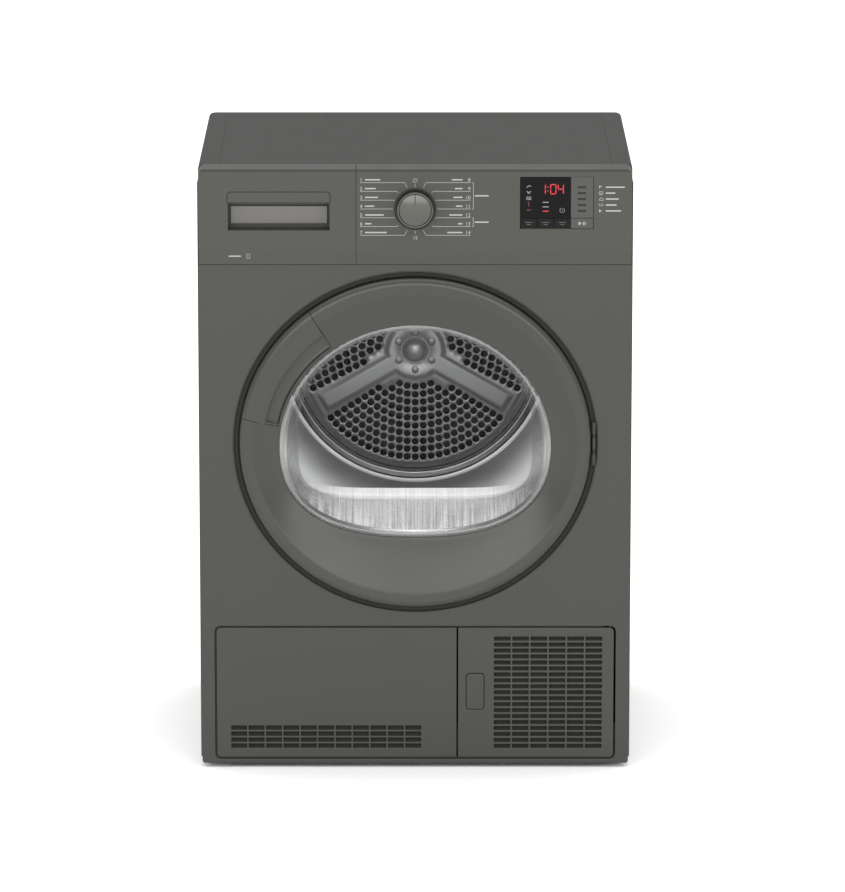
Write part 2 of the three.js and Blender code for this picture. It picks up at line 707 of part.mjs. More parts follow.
function doorGlass() {
  const flangeY = GLASS_Y + WALL + GAP;
  const thick = 3.6;
  const bowlRing = ([depth, half, top, bottom, flat], grow) => {
    const z = bottom + (top - bottom) * 0.42;
    const frame = { half, z, up: top - z, down: z - bottom, flat };
    return ringAt(flangeY + depth, (t) => onOpening(t, grow, frame), 40);
  };
  const roomSide = BOWL.map((ring) => bowlRing(ring, 0)).reverse();
  const drumSide = BOWL.map(([depth, ...rest]) => (
    bowlRing([depth + thick, ...rest], depth > 100 ? 0 : thick * 0.8)
  ));
  const flange = [
    ringAt(flangeY, (t) => onOpening(t, 9), 40),
    ringAt(flangeY + 3, (t) => onOpening(t, 9), 40),
    ringAt(flangeY + 3, (t) => onOpening(t, 0.6), 40),
  ];
  const end = roomSide[0].map(([x, , z]) => [x, z]);
  return skin([...roomSide, ...flange, ...drumSide], fillOf(end));
}

function doorSeal() {
  const [front, rear] = [DOOR_BACK + GAP, FLOOR_Y - GAP];
  return skin([
    ringAt(front, (t) => onOpening(t, 21), 40), ringAt(rear, (t) => onOpening(t, 19), 40),
    ringAt(rear, (t) => onOpening(t, 15.5), 40), ringAt(front, (t) => onOpening(t, 14.5), 40),
  ]);
}

function doorHook() {
  const tip = FLOOR_Y + 15;
  const plate = block(-232, -212, DOOR_BACK + GAP, DOOR_BACK + 1.8, 450, 476);
  const stem = block(-224, -220, DOOR_BACK + 1, tip, 458, 468);
  const barb = block(-228, -220, tip - 5, tip, 458, 468);
  return joined(plate, stem, barb);
}

// the leaf on the door and the bracket on the cabinet share one upright pin
const LEAF_SPAN = 30;
const BRACKET_SPAN = 8;

function hingeLeaf() {
  const front = DOOR_BACK + GAP;
  const plate = block(217, 244, front, front + SHEET, DOOR_Z - LEAF_SPAN, DOOR_Z + LEAF_SPAN);
  const arms = [-1, 1].map((side) => {
    const ends = [side * (BRACKET_SPAN + 6), side * LEAF_SPAN].sort((p, q) => p - q);
    const [low, high] = ends.map((end) => DOOR_Z + end);
    const leg = block(HINGE.x - 3, HINGE.x - 1.2, HINGE.y, front + SHEET, low, high);
    const tab = block(240, HINGE.x - 1.2, front, front + SHEET, low, high);
    return joined(leg, tab, uprightRod(HINGE.barrel, HINGE.x, HINGE.y, low, high, 16));
  });
  const bore = uprightRod(HINGE.pin + 0.3, HINGE.x, HINGE.y,
    DOOR_Z - LEAF_SPAN - 1, DOOR_Z + LEAF_SPAN + 1, 12);
  const slot = block(244, 250, HINGE.y - 5, FLOOR_Y, DOOR_Z - BRACKET_SPAN - 5,
    DOOR_Z + BRACKET_SPAN + 5);
  return without(joined(plate, ...arms), bore, slot);
}

function hingeBracket() {
  const rear = FLOOR_Y - GAP;
  const [low, high] = [DOOR_Z - BRACKET_SPAN, DOOR_Z + BRACKET_SPAN];
  const plate = block(222, 248.6, rear - 1, rear, low, high);
  const leg = block(HINGE.x - 1.6, HINGE.x + 1.6, HINGE.y, rear, low, high);
  const barrel = uprightRod(HINGE.barrel, HINGE.x, HINGE.y, low, high, 16);
  const pin = uprightRod(HINGE.pin, HINGE.x, HINGE.y,
    DOOR_Z - LEAF_SPAN + 1, DOOR_Z + LEAF_SPAN - 1, 12);
  return joined(plate, leg, barrel, pin);
}

function doorLock() {
  const [front, rear] = [FLOOR_Y + SHEET + GAP, BULKHEAD_Y - 1];
  const body = block(-252, -206, front, rear, 440, 486);
  const mouth = block(-232, -212, front - 1, rear - 3, 455, 471);
  return body.subtract(mouth);
}

// ---------------------------------------------------------------- drum
const ROLLER_REACH = DRUM_R + ROLLER_R + 0.4;
const ROLLER = {
  x: ROLLER_REACH * Math.sin(ROLLER_ANGLE),
  z: DRUM_Z - ROLLER_REACH * Math.cos(ROLLER_ANGLE),
  front: -196,
  rear: -176,
};

function frontBulkhead() {
  const plateRear = BULKHEAD_Y + 3;
  const hole = openingShape(14);
  const disc = new THREE.Shape().absarc(0, DRUM_Z, BULKHEAD_R, 0, 2 * Math.PI);
  const plate = joined(
    alongY(disc, BULKHEAD_Y, plateRear, 32),
    block(-185, 185, BULKHEAD_Y, plateRear, 196, 330),
  ).subtract(alongY(hole, BULKHEAD_Y - 1, plateRear + 1));
  const tunnel = openingShape(17);
  tunnel.holes.push(openingShape(14));
  const collar = alongY(tunnel, FLOOR_Y + SHEET + GAP, plateRear);
  const spindles = [-1, 1].map((side) => (
    rod(4, side * ROLLER.x, ROLLER.z, plateRear - 1, ROLLER.rear + 2, 12)
  ));
  const filterSlot = block(-92, 92, -230.5, -213.5, 300, 325);
  return joined(plate, collar, ...spindles).subtract(filterSlot);
}

function lintFilter() {
  const [front, rear] = [-229.5, -214.5];
  const opening = GLASS.z - GLASS.down - 14;
  const frame = block(-91, 91, front, rear, 222, opening + 2.5);
  const hollow = block(-88, 88, front + 2.5, rear - 2.5, 225, opening + 3);
  const windows = [-59, 0, 59].map((x) => (
    block(x - 26, x + 26, front - 1, rear + 1, 232, 300)
  ));
  return without(frame, hollow, ...windows);
}

function drumRoller(side) {
  return tube(4.4, ROLLER_R, side * ROLLER.x, ROLLER.z, ROLLER.front, ROLLER.rear, 28);
}

function drumShell() {
  const lip = 12;
  const inner = DRUM_R - DRUM_SHEET;
  const lipRear = DRUM_FRONT + DRUM_SHEET;
  const profile = [
    [DRUM_R - lip, DRUM_FRONT], [DRUM_R, DRUM_FRONT], [DRUM_R, DRUM_REAR - GAP],
    [inner, DRUM_REAR - GAP], [inner, lipRear], [DRUM_R - lip, lipRear],
    [DRUM_R - lip, DRUM_FRONT],
  ];
  return turned(profile, 0, DRUM_Z, 56);
}

// a cone from the shell in to the flat perforated disc, whose bead ring stands forward
function drumBack() {
  const bead = 6;
  const [disc, hub] = [BACK_DISC_Y, 10.5];
  const face = [
    [DRUM_R, DRUM_REAR], [BACK_DISC_R + 4, disc - 3], [BACK_DISC_R, disc - bead],
    [BACK_DISC_R - 14, disc - bead], [BACK_DISC_R - 20, disc], [hub, disc],
  ];
  const rear = face.map(([r, y]) => [r, y + DRUM_SHEET]).reverse();
  return turned([...face, ...rear, face[0]], 0, DRUM_Z, 48);
}

function drumHub() {
  const nose = BACK_DISC_Y - GAP;
  return turned([
    [0, nose - 9], [9, nose - 8], [16, nose - 4.5], [19.8, nose], [10, nose], [10, 262], [0, 262],
  ], 0, DRUM_Z, 28);
}

function drumLifter(angle) {
  const [root, tip] = [DRUM_R - DRUM_SHEET - 2, DRUM_R - 50];
  const [front, rear, wall] = [-180, 195, 2.5];
  const half = 30;
  const bow = Math.sqrt(root ** 2 - half ** 2);
  const ridge = polygon([[-half, bow], [half, bow], [11, tip + 4], [0, tip], [-11, tip + 4]]);
  const hollow = polygon([
    [-half + wall, bow + 1], [half - wall, bow + 1], [10, tip + 4 + wall], [0, tip + wall],
    [-10, tip + 4 + wall],
  ]);
  const shell = alongY(ridge, front, rear)
    .subtract(alongY(hollow, front + wall, rear - wall));
  return spunAbout(shell, 0, 0, angle).translate([0, 0, DRUM_Z]);
}

// ---------------------------------------------------------------- rear and air path
const DUCT = { r: 250, left: 60, right: 200, low: 40, wall: 1.5 };

function rearPanel() {
  const outline = rectangle(-HALF + 2, HALF - 2, 14, TOP_UNDERSIDE - 2);
  const spokes = 6;
  const half = THREE.MathUtils.degToRad(22);
  for (let i = 0; i < spokes; i += 1) {
    const middle = (2 * Math.PI * i) / spokes;
    const inlet = new THREE.Path();
    inlet.absarc(0, DRUM_Z, 160, middle - half, middle + half, false);
    inlet.absarc(0, DRUM_Z, 60, middle + half, middle - half, true);
    outline.holes.push(inlet);
  }
  const plate = alongY(outline, REAR_PANEL_Y, REAR_PANEL_Y + SHEET, 3);
  const boss = rod(20, 0, DRUM_Z, REAR_PANEL_Y - 4, REAR_PANEL_Y + 18, 24);
  const bore = rod(10.4, 0, DRUM_Z, REAR_PANEL_Y - 6, REAR_PANEL_Y + 20, 24);
  const airHole = block(DUCT.left + 20, DUCT.right - 20, REAR_PANEL_Y - 1, REAR_PANEL_Y + 3, 60, 150);
  return without(joined(plate, boss), bore, airHole);
}

function ductCover() {
  const front = REAR_PANEL_Y + SHEET + GAP;
  const duct = (inset, y0, y1) => joined(
    rod(DUCT.r - inset, 0, DRUM_Z, y0, y1, 48),
    block(DUCT.left + inset, DUCT.right - inset, y0, y1, DUCT.low + inset, DRUM_Z),
  );
  return duct(0, front, BACK).subtract(duct(DUCT.wall, front - 1, BACK - DUCT.wall));
}

function heater() {
  const [middle, reach] = [REAR_PANEL_Y + 17, 105];
  const coil = new THREE.TorusGeometry(reach, 7, 6, 24);
  coil.rotateX(Math.PI / 2);
  coil.translate(0, middle, DRUM_Z);
  const terminals = block(-25, 25, middle - 8, middle + 8, DRUM_Z + reach - 4, DRUM_Z + reach + 30);
  return joined(solid(coil), terminals);
}

function fan(front, rear) {
  const [blades, radius, plate] = [10, 62, 3];
  const disc = rod(radius, MOTOR.x, MOTOR.z, rear - plate, rear, 28);
  const hub = rod(14, MOTOR.x, MOTOR.z, front, rear, 16);
  const vanes = Array.from({ length: blades }, (_, i) => spunAbout(
    block(MOTOR.x + 26, MOTOR.x + radius - 1, front, rear - 1, MOTOR.z - 1, MOTOR.z + 1),
    MOTOR.x, MOTOR.z, (2 * Math.PI * i) / blades,
  ));
  const bore = rod(SHAFT_R + 0.2, MOTOR.x, MOTOR.z, front - 1, rear + 1, 16);
  return joined(disc, hub, ...vanes).subtract(bore);
}

function motor() {
  const { r, front, rear } = MOTOR;
  const bore = SHAFT_R + 0.5;
  return turned([
    [bore, front], [30, front], [r - 4, front + 12], [r, front + 16], [r, rear - 16],
    [r - 4, rear - 12], [30, rear], [bore, rear], [bore, front],
  ], MOTOR.x, MOTOR.z, 28);
}

function motorShaft() {
  return turned([
    [0, -70], [SHAFT_R, -70], [SHAFT_R, BELT.front - 2], [PULLEY_R + 2, BELT.front - 2],
    [PULLEY_R + 2, BELT.front - 1], [PULLEY_R, BELT.front - 0.5], [PULLEY_R, BELT.rear + 0.5],
    [PULLEY_R + 2, BELT.rear + 1], [PULLEY_R + 2, BELT.rear + 2], [SHAFT_R, BELT.rear + 2],
    [SHAFT_R, 203], [0, 203],
  ], MOTOR.x, MOTOR.z, 16);
}

// the open belt: two arcs joined by the circles' outer tangents
function beltPath(large, small) {
  const [dx, dz] = [MOTOR.x, MOTOR.z - DRUM_Z];
  const middle = Math.atan2(dz, dx);
  const spread = Math.acos((large - small) / Math.hypot(dx, dz));
  const path = new THREE.Shape();
  path.absarc(0, DRUM_Z, large, middle + spread, middle - spread + 2 * Math.PI, false);
  path.absarc(MOTOR.x, MOTOR.z, small, middle - spread, middle + spread, false);
  return path;
}

function driveBelt() {
  const [large, small] = [DRUM_R + BELT.clear, PULLEY_R + BELT.clear];
  const band = beltPath(large + BELT.thick, small + BELT.thick);
  band.holes.push(beltPath(large, small));
  return alongY(band, BELT.front, BELT.rear, 24);
}

// the idler presses on the slack run, a quarter of the way up from the motor pulley
function idlerCentre() {
  const [dx, dz] = [MOTOR.x, MOTOR.z - DRUM_Z];
  const angle = Math.atan2(dz, dx) + Math.acos((DRUM_R - PULLEY_R) / Math.hypot(dx, dz));
  const [nx, nz] = [Math.cos(angle), Math.sin(angle)];
  const reach = BELT.clear + BELT.thick + 0.4;
  const along = 0.25;
  const x = (MOTOR.x + PULLEY_R * nx) * (1 - along) + DRUM_R * nx * along;
  const z = (MOTOR.z + PULLEY_R * nz) * (1 - along) + (DRUM_Z + DRUM_R * nz) * along;
  return [x + (reach + IDLER_R) * nx, z + (reach + IDLER_R) * nz];
}

function idlerPulley() {
  const [x, z] = idlerCentre();
  return tube(4.4, IDLER_R, x, z, BELT.front - 1, BELT.rear + 1, 24);
}

function idlerArm() {
  const [x, z] = idlerCentre();
  const rear = BELT.front - 2;
  const arm = block(x - 7, x + 7, rear - 4, rear, 8.5, z + 9);
  const sole = block(x - 25, x + 25, rear - 12, rear, 8.3, 11);
  return joined(arm, sole, rod(4, x, z, rear - 1, BELT.rear + 2, 12));
}

function condensatePump() {
  const cup = block(-25, 45, 168, 218, 9, 50);
  const head = rod(18, 10, 74, 175, 205, 20);
  const neck = block(2, 18, 180, 200, 48, 62);
  return joined(cup, neck, head);
}

function cordInlet() {
  const front = REAR_PANEL_Y + SHEET + GAP;
  const plate = block(-262, -222, front, front + 8, 660, 690);
  return joined(plate, rod(9, -242, 675, front + 7, front + 16, 16));
}

// ---------------------------------------------------------------- assembly
const group = new THREE.Group();
group.name = 'clothes_dryer';

function add(name, shape, material) {
  const mesh = shape.getMesh();
  const geometry = new THREE.BufferGeometry();
  geometry.setAttribute('position', new THREE.BufferAttribute(mesh.vertProperties, 3));
  geometry.setIndex(new THREE.BufferAttribute(mesh.triVerts, 1));
  geometry.computeVertexNormals();
  const piece = new THREE.Mesh(geometry, material());
  piece.name = name;
  group.add(piece);
}

add('side_panel_left', sidePanel(-1), bodyPaint);
add('side_panel_right', sidePanel(1), bodyPaint);
add('rear_panel', rearPanel(), zincSteel);
add('base_tray', baseTray(), darkPlastic);
add('worktop_frame', worktopFrame(), topPlastic);
add('worktop_inlay', worktopInlay(), topPlastic);
add('front_panel', frontPanel(), bodyPaint);
add('control_fascia', controlFascia(), fasciaPlastic);
add('display_window', windowPiece(WINDOW.left, WINDOW.middle), blackGloss);
add('indicator_window', windowPiece(WINDOW.middle, WINDOW.right), darkPlastic);
add('interface_board', interfaceBoard(), circuitGreen);
add('programme_knob', programmeKnob(), fasciaPlastic);

const keyWidth = (WINDOW.middle - WINDOW.left) / 3;
['left', 'middle', 'right'].forEach((place, i) => {
  const edge = WINDOW.left + keyWidth * i;
  add(`function_key_${place}`, key(edge, edge + keyWidth), darkPlastic);
});
add('start_key', key(WINDOW.middle, WINDOW.right), darkPlastic);

add('tank_drawer_front', drawerFront(), fasciaPlastic);
add('water_tank', waterTank(), palePlastic);
add('tank_guide', tankGuide(), zincSteel);

add('kick_cover', kickCover(), bodyPaint);
add('kick_flap', kickFlap(), bodyPaint);
add('flap_latch', flapLatch(), bodyPaint);
add('heat_exchanger', heatExchanger(), aluminium);
add('exchanger_lever_upper', exchangerLever(EXCHANGER.high - 20), darkPlastic);
add('exchanger_lever_lower', exchangerLever(EXCHANGER.low + 20), darkPlastic);

add('door_outer_frame', outerFrame(), bodyPaint);
add('door_inner_frame', innerFrame(), darkPlastic);
add('door_handle', doorHandle(), bodyPaint);
add('door_glass', doorGlass(), glassMaterial);
add('door_seal', doorSeal(), rubber);
add('door_hook', doorHook(), zincSteel);
add('door_hinge_leaf', hingeLeaf(), zincSteel);
add('door_hinge_bracket', hingeBracket(), zincSteel);
add('door_lock', doorLock(), darkPlastic);

add('front_bulkhead', frontBulkhead(), palePlastic);
add('lint_filter', lintFilter(), darkPlastic);
add('drum_shell', drumShell(), stainless);
add('drum_back', drumBack(), stainless);
add('drum_hub', drumHub(), stainless);
[90, 210, 330].forEach((degrees, i) => {
  add(`drum_lifter_${i + 1}`, drumLifter(THREE.MathUtils.degToRad(degrees - 90)), palePlastic);
});
add('drum_roller_left', drumRoller(-1), rubber);
add('drum_roller_right', drumRoller(1), rubber);

add('duct_cover', ductCover(), zincSteel);
add('heater', heater(), zincSteel);
add('motor', motor(), zincSteel);
add('motor_shaft', motorShaft(), zincSteel);
add('process_fan', fan(-68, -30), palePlastic);
add('cooling_fan', fan(172, 201), palePlastic);
add('drive_belt', driveBelt(), rubber);
add('idler_pulley', idlerPulley(), palePlastic);
add('idler_arm', idlerArm(), zincSteel);
add('condensate_pump', condensatePump(), darkPlastic);
add('cord_inlet', cordInlet(), darkPlastic);

FOOT_PLACES.forEach(([place, x, y]) => {
  add(`foot_${place}`, foot(x, y), darkPlastic);
});

export default group;
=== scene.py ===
"""The looks of a free-standing condenser clothes dryer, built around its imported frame.

Lengths are in millimetres until a mesh is made, +X is to the right, +Y to the back and
+Z up, as in the frame. Angles on the door run anticlockwise from +X, seen from the front.
"""

import json
import math

import bmesh
import bpy
from mathutils import Matrix, Vector, geometry, kdtree


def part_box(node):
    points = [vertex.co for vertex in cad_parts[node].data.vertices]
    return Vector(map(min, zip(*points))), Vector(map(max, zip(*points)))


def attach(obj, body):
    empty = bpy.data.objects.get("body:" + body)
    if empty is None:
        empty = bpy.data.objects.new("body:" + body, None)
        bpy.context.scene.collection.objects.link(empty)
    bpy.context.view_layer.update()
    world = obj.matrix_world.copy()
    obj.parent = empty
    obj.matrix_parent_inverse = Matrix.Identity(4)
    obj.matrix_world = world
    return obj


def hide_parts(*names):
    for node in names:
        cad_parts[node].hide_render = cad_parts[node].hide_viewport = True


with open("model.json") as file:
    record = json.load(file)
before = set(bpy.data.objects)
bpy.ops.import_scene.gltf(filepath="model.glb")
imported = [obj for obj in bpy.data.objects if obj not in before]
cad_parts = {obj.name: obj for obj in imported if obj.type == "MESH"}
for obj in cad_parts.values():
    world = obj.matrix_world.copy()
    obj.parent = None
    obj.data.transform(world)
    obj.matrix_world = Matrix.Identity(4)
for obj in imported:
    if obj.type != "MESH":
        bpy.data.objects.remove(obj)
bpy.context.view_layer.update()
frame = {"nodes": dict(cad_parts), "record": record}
scene = bpy.context.scene
MM = 0.001


def span(node):
    low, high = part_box(node)
    return low / MM, high / MM


# ------------------------------------------------------------ measures, from the frame
panel_low, panel_high = span("front_panel")
fascia_low = span("control_fascia")[0]
door_low, door_high = span("door_outer_frame")
glass_low, glass_high = span("door_glass")
knob_low, knob_high = span("programme_knob")
display_low = span("display_window")[0]
leds_low, leds_high = span("indicator_window")
start_low, start_high = span("start_key")
cover_low, cover_high = span("kick_cover")
flap_low, flap_high = span("kick_flap")
latch_low, latch_high = span("flap_latch")
shell_low, shell_high = span("drum_shell")
back_high = span("drum_back")[1]
duct_low, duct_high = span("duct_cover")
rear_low, rear_high = span("rear_panel")

PANEL_Y = panel_low.y
FRONT_HALF = panel_high.x
SHEET = 1.5  # thickness of the front panel
FLOOR_Y = panel_high.y - SHEET  # front of the floor of the door's recess
FASCIA_Y = fascia_low.y
DOOR_Y = door_low.y
DOOR_BACK = door_high.y
DOOR_Z = (door_low.z + door_high.z) / 2
DOOR = (door_high.x, (door_high.z - door_low.z) / 2)
RECESS = (DOOR[0] + 6.8, DOOR[1] + 6.6)
CREASE = (DOOR[0] - 18.4, DOOR[1] - 20.6)
CREASE_Z = DOOR_Z - 2
GLASS_Y = DOOR_Y + 13.5
FLANGE_Y = GLASS_Y + 3.3  # front of the glass's flange
FLANGE = 9  # the glass reaches this far behind the door's slope
OPENING_Z = DOOR_Z - 4.8
OPENING = {
    "half": glass_high.x - FLANGE, "z": OPENING_Z,
    "up": glass_high.z - FLANGE - OPENING_Z, "down": OPENING_Z - FLANGE - glass_low.z,
    "flat": 2.5,
}
HANDLE_FROM = math.radians(127)
HANDLE_TO = math.radians(171)
CONTROL_Z = (knob_low.z + knob_high.z) / 2
KNOB_SKIRT = knob_high.x
DRUM_Z = (shell_low.z + shell_high.z) / 2
DRUM_R = shell_high.x
DISC_Y = back_high.y - 1  # front of the drum's perforated disc
KICK = {"half": flap_high.x + 2.5, "low": cover_low.z - 2.5, "high": cover_high.z + 2.5}


# ------------------------------------------------------------ finishes
def paint(red, green, blue):
    """An sRGB colour of 0 to 255 as the linear colour that a shader takes."""
    def linear(value):
        value /= 255
        return value / 12.92 if value <= 0.04045 else ((value + 0.055) / 1.055) ** 2.4
    return (linear(red), linear(green), linear(blue), 1.0)


def shaded(colour, factor):
    return tuple(min(1.0, part * factor) for part in colour[:3]) + (1.0,)


def blank(name):
    """A new material's node tree and its Principled shader."""
    made = bpy.data.materials.new(name)
    made.use_nodes = True
    return made, made.node_tree, made.node_tree.nodes["Principled BSDF"]


def fill(tree, made, inputs):
    """Sets a node's inputs, each to a value or to another node's output."""
    for name, value in inputs.items():
        if hasattr(value, "is_linked"):
            tree.links.new(value, made.inputs[name])
        else:
            made.inputs[name].default_value = value
    return made


def node(tree, kind, inputs, **settings):
    made = tree.nodes.new("ShaderNode" + kind)
    for name, value in settings.items():
        setattr(made, name, value)
    return fill(tree, made, inputs)


def noise(tree, scale, stretch=(1, 1, 1), detail=3.0):
    place = node(tree, "TexCoord", {}).outputs["Object"]
    mapping = node(tree, "Mapping", {"Vector": place, "Scale": stretch})
    return node(tree, "TexNoise", {"Vector": mapping.outputs["Vector"], "Scale": scale,
                                   "Detail": detail}).outputs["Fac"]


def ranged(tree, factor, low, high):
    """Noise lies near one half, so its middle stretch is what is spread out."""
    return node(tree, "MapRange", {"Value": factor, "From Min": 0.3, "From Max": 0.7,
                                   "To Min": low, "To Max": high}).outputs["Result"]


def facing(tree, way):
    """1 where the surface looks the way given, such as (0, 0, 1), and 0 across or behind it."""
    normal = node(tree, "TexCoord", {}).outputs["Normal"]
    along = node(tree, "VectorMath", {0: normal, 1: way}, operation="DOT_PRODUCT")
    return ranged(tree, along.outputs["Value"], 0, 1)


def blended(tree, factor, first, second):
    colours = {"Factor": factor, 6: first, 7: second}  # 6 and 7 are the mix's two colours
    return node(tree, "Mix", colours, data_type="RGBA").outputs[2]


def relief(tree, shader, factor, height):
    bump = node(tree, "Bump", {"Distance": height * MM, "Height": factor})
    fill(tree, shader, {"Normal": bump.outputs["Normal"]})


def over_clear(tree, shader, clear_tint, share):
    """Lets a share of the shader show over clear glass of a tint."""
    clear = node(tree, "BsdfTransparent", {"Color": clear_tint})
    mix = node(tree, "MixShader", {"Fac": share, 1: clear.outputs["BSDF"],
                                   2: shader.outputs["BSDF"]})
    fill(tree, tree.nodes["Material Output"], {"Surface": mix.outputs["Shader"]})


UP = (0, 0, 1)
TO_FRONT = (0, -1, 0)


def moulded(name, colour, rough, metal=0.0, mottle=0.03, grain=900, height=0.012,
            stretch=(1, 1, 1), sheen=0.5, painted_shade_share=1.0, way=UP):
    """Plastic, paint or metal: soft cloudy colour, a fine grain, and uneven gloss.

    Faces that look the way given are darkened by the share given, as painted shade.
    """
    made, tree, shader = blank(name)
    cloud = ranged(tree, noise(tree, 2.5), 0, 1)
    fine = noise(tree, grain, stretch)
    speck = ranged(tree, fine, 0, 1)
    clouded = blended(tree, cloud, shaded(colour, 1 - mottle / 2), shaded(colour, 1 + mottle / 2))
    darker = blended(tree, cloud, shaded(colour, 1 - 1.5 * mottle), shaded(colour, 1 - mottle))
    tint = blended(tree, speck, darker, clouded)
    # Painted shade: darken the faces that look the way given.
    if painted_shade_share < 1:
        tint = blended(tree, facing(tree, way), tint, shaded(colour, painted_shade_share))
    wear = ranged(tree, noise(tree, 25), rough - 0.02, rough + 0.02)
    fill(tree, shader, {"Base Color": tint, "Roughness": wear, "Metallic": metal,
                        "Specular IOR Level": sheen})
    relief(tree, shader, fine, height)
    return made


def glowing(name, colour, strength):
    """A lit segment behind the display, a little uneven across its length."""
    made, tree, shader = blank(name)
    uneven = ranged(tree, noise(tree, 400), 0, 1)
    tint = blended(tree, uneven, shaded(colour, 0.8), colour)
    fill(tree, shader, {"Base Color": tint, "Emission Color": tint, "Emission Strength": strength,
                        "Roughness": 0.4})
    return made


def clear_glass(name, tint, haze, reflect, reflect_at_edge):
    """Clear glass: what is behind shows through, with a sheen that grows at the edges."""
    made, tree, shader = blank(name)
    streak = noise(tree, 30)
    fill(tree, shader, {
        "Base Color": blended(tree, ranged(tree, streak, 0, 1), haze, shaded(haze, 1.2)),
        "Roughness": ranged(tree, streak, 0.03, 0.08),
    })
    sheen = node(tree, "Fresnel", {"IOR": 1.5}).outputs["Fac"]
    share = node(tree, "MapRange", {"Value": sheen, "To Min": reflect, "To Max": reflect_at_edge})
    over_clear(tree, shader, tint, share.outputs["Result"])
    return made


def ribbed_glass(name, stretch, share, dark, light, fade):
    """Glass with painted highlights: bright streaks between two greys laid over what shows through.

    The streaks fade out between two distances to the left and right of the middle, in metres.
    """
    made, tree, shader = blank(name)
    streak = ranged(tree, noise(tree, 420, (1, *stretch), 1.0), 0, 1)
    fill(tree, shader, {
        "Base Color": blended(tree, streak, paint(dark, dark, dark), paint(light, light, light)),
        "Roughness": ranged(tree, noise(tree, 60), 0.2, 0.35),
    })
    place = node(tree, "TexCoord", {}).outputs["Object"]
    split = node(tree, "SeparateXYZ", {"Vector": place})
    across = node(tree, "Math", {0: split.outputs["X"]}, operation="ABSOLUTE")
    strength = node(tree, "MapRange", {
        "Value": across.outputs["Value"], "From Min": fade[0], "From Max": fade[1],
        "To Min": share, "To Max": 0.1}, interpolation_type="SMOOTHSTEP")
    over_clear(tree, shader, (1, 1, 1, 1), strength.outputs["Result"])
    return made


ALONG_DRUM = (1, 30, 1)  # fine lines round the drum

FINISH = {
    "body_paint": moulded("body_paint", paint(63, 63, 59), 0.38, 0.4, mottle=0.015),
    "top_plastic": moulded("top_plastic", paint(70, 70, 69), 0.7, mottle=0.01, height=0.002,
                           sheen=0.02),
    # The fascia's faces that look up are darkened to 0.55 as painted shade.
    "fascia_plastic": moulded("fascia_plastic", paint(78, 78, 74), 0.5, mottle=0.015, sheen=0.1,
                              painted_shade_share=0.55),
    "door_plastic": moulded("door_plastic", paint(66, 66, 62), 0.26, 0.5, mottle=0.015),
    "dark_plastic": moulded("dark_plastic", paint(42, 42, 41), 0.5, mottle=0.08),
    "display_black": moulded("display_black", paint(15, 15, 15), 0.16, height=0.001, sheen=0.1),
    "indicator_grey": moulded("indicator_grey", paint(76, 77, 74), 0.34, mottle=0.01,
                              height=0.001, sheen=0.2),
    "key_black": moulded("key_black", paint(25, 24, 24), 0.3, height=0.002, sheen=0.1),
    "pale_plastic": moulded("pale_plastic", paint(165, 165, 162), 0.55),
    "stainless": moulded("stainless", paint(164, 164, 163), 0.3, 0.9, mottle=0.015, grain=60,
                         stretch=ALONG_DRUM, height=0.0008),
    "zinc_steel": moulded("zinc_steel", paint(140, 141, 142), 0.45, 0.9, mottle=0.12, grain=220),
    "fin_aluminium": moulded("fin_aluminium", paint(170, 172, 174), 0.35, 1.0),
    "rubber": moulded("rubber", paint(34, 34, 34), 0.8, mottle=0.12, grain=500, height=0.05),
    "board": moulded("board", paint(30, 68, 54), 0.5, mottle=0.2),
    "door_glass": clear_glass("door_glass", (0.97, 0.97, 0.97, 1.0), paint(108, 109, 109), 0.0,
                              0.5),
}
KNOB_FINISH = moulded("knob_finish", paint(90, 90, 86), 0.2, 0.9)
PRINT = moulded("pale_printing", paint(168, 166, 162), 0.6, height=0.002)
DIM_PRINT = moulded("dim_printing", paint(100, 97, 92), 0.6, height=0.002)
LED_OFF = moulded("unlit_bar", paint(36, 38, 37), 0.4, height=0.002, sheen=0.2)
LIT_RED = glowing("lit_red", paint(196, 30, 42), 0.55)
LIT_GREY = glowing("lit_grey", paint(140, 140, 140), 0.1)
DARK_RED = glowing("dim_red", paint(112, 40, 42), 0.15)
# Painted light: the back of the drawer's grip, paler than the fascia as if lit.
LIT_RECESS_PLATE = moulded("recess_plate_lit", paint(108, 107, 105), 0.35, 0.2)
# The rear panel's faces that look to the front, inside the cabinet, are darkened to 0.12 as painted
# shade.
REAR_STEEL_SHADED_FRONT = moulded("rear_steel_shaded_front", paint(140, 141, 142), 0.45, 0.9, mottle=0.1, grain=220,
                     painted_shade_share=0.12, way=TO_FRONT)
# Painted shade: the dark walls of the drawer's grip.
RECESS_WALL_SHADE = moulded("recess_wall_shade", paint(62, 62, 59), 0.5)
SHADOW_GREY = moulded("shadow_grey", paint(50, 50, 47), 0.7, sheen=0.1)
# A dark grey of painted shade, for the drum disc's holes, the grooves beside it and what shows
# behind it.
HOLE_SHADE = moulded("hole_shade", paint(78, 78, 76), 0.8, sheen=0.02)
GLASS_RIM = clear_glass("glass_rim", (0.95, 0.95, 0.95, 1.0), paint(176, 177, 177), 0.1, 0.7)
# Painted highlights: bright grey streaks laid over the bowl's ribs and its lower corner.
RIB_HIGHLIGHTS = ribbed_glass("glass_ribs", (0.015, 0.02), 0.85, 160, 228, (0.13, 0.175))
LEDGE_HIGHLIGHT = ribbed_glass("glass_ledge", (0.02, 0.02), 0.85, 206, 230, (0.09, 0.16))
DISC_STEEL = moulded("disc_steel", paint(150, 151, 151), 0.42, 0.6, mottle=0.015, grain=300,
                     height=0.001)
DISH_STEEL = moulded("dish_steel", paint(172, 173, 173), 0.3, 0.8, mottle=0.015, grain=60,
                     stretch=ALONG_DRUM, height=0.0008)


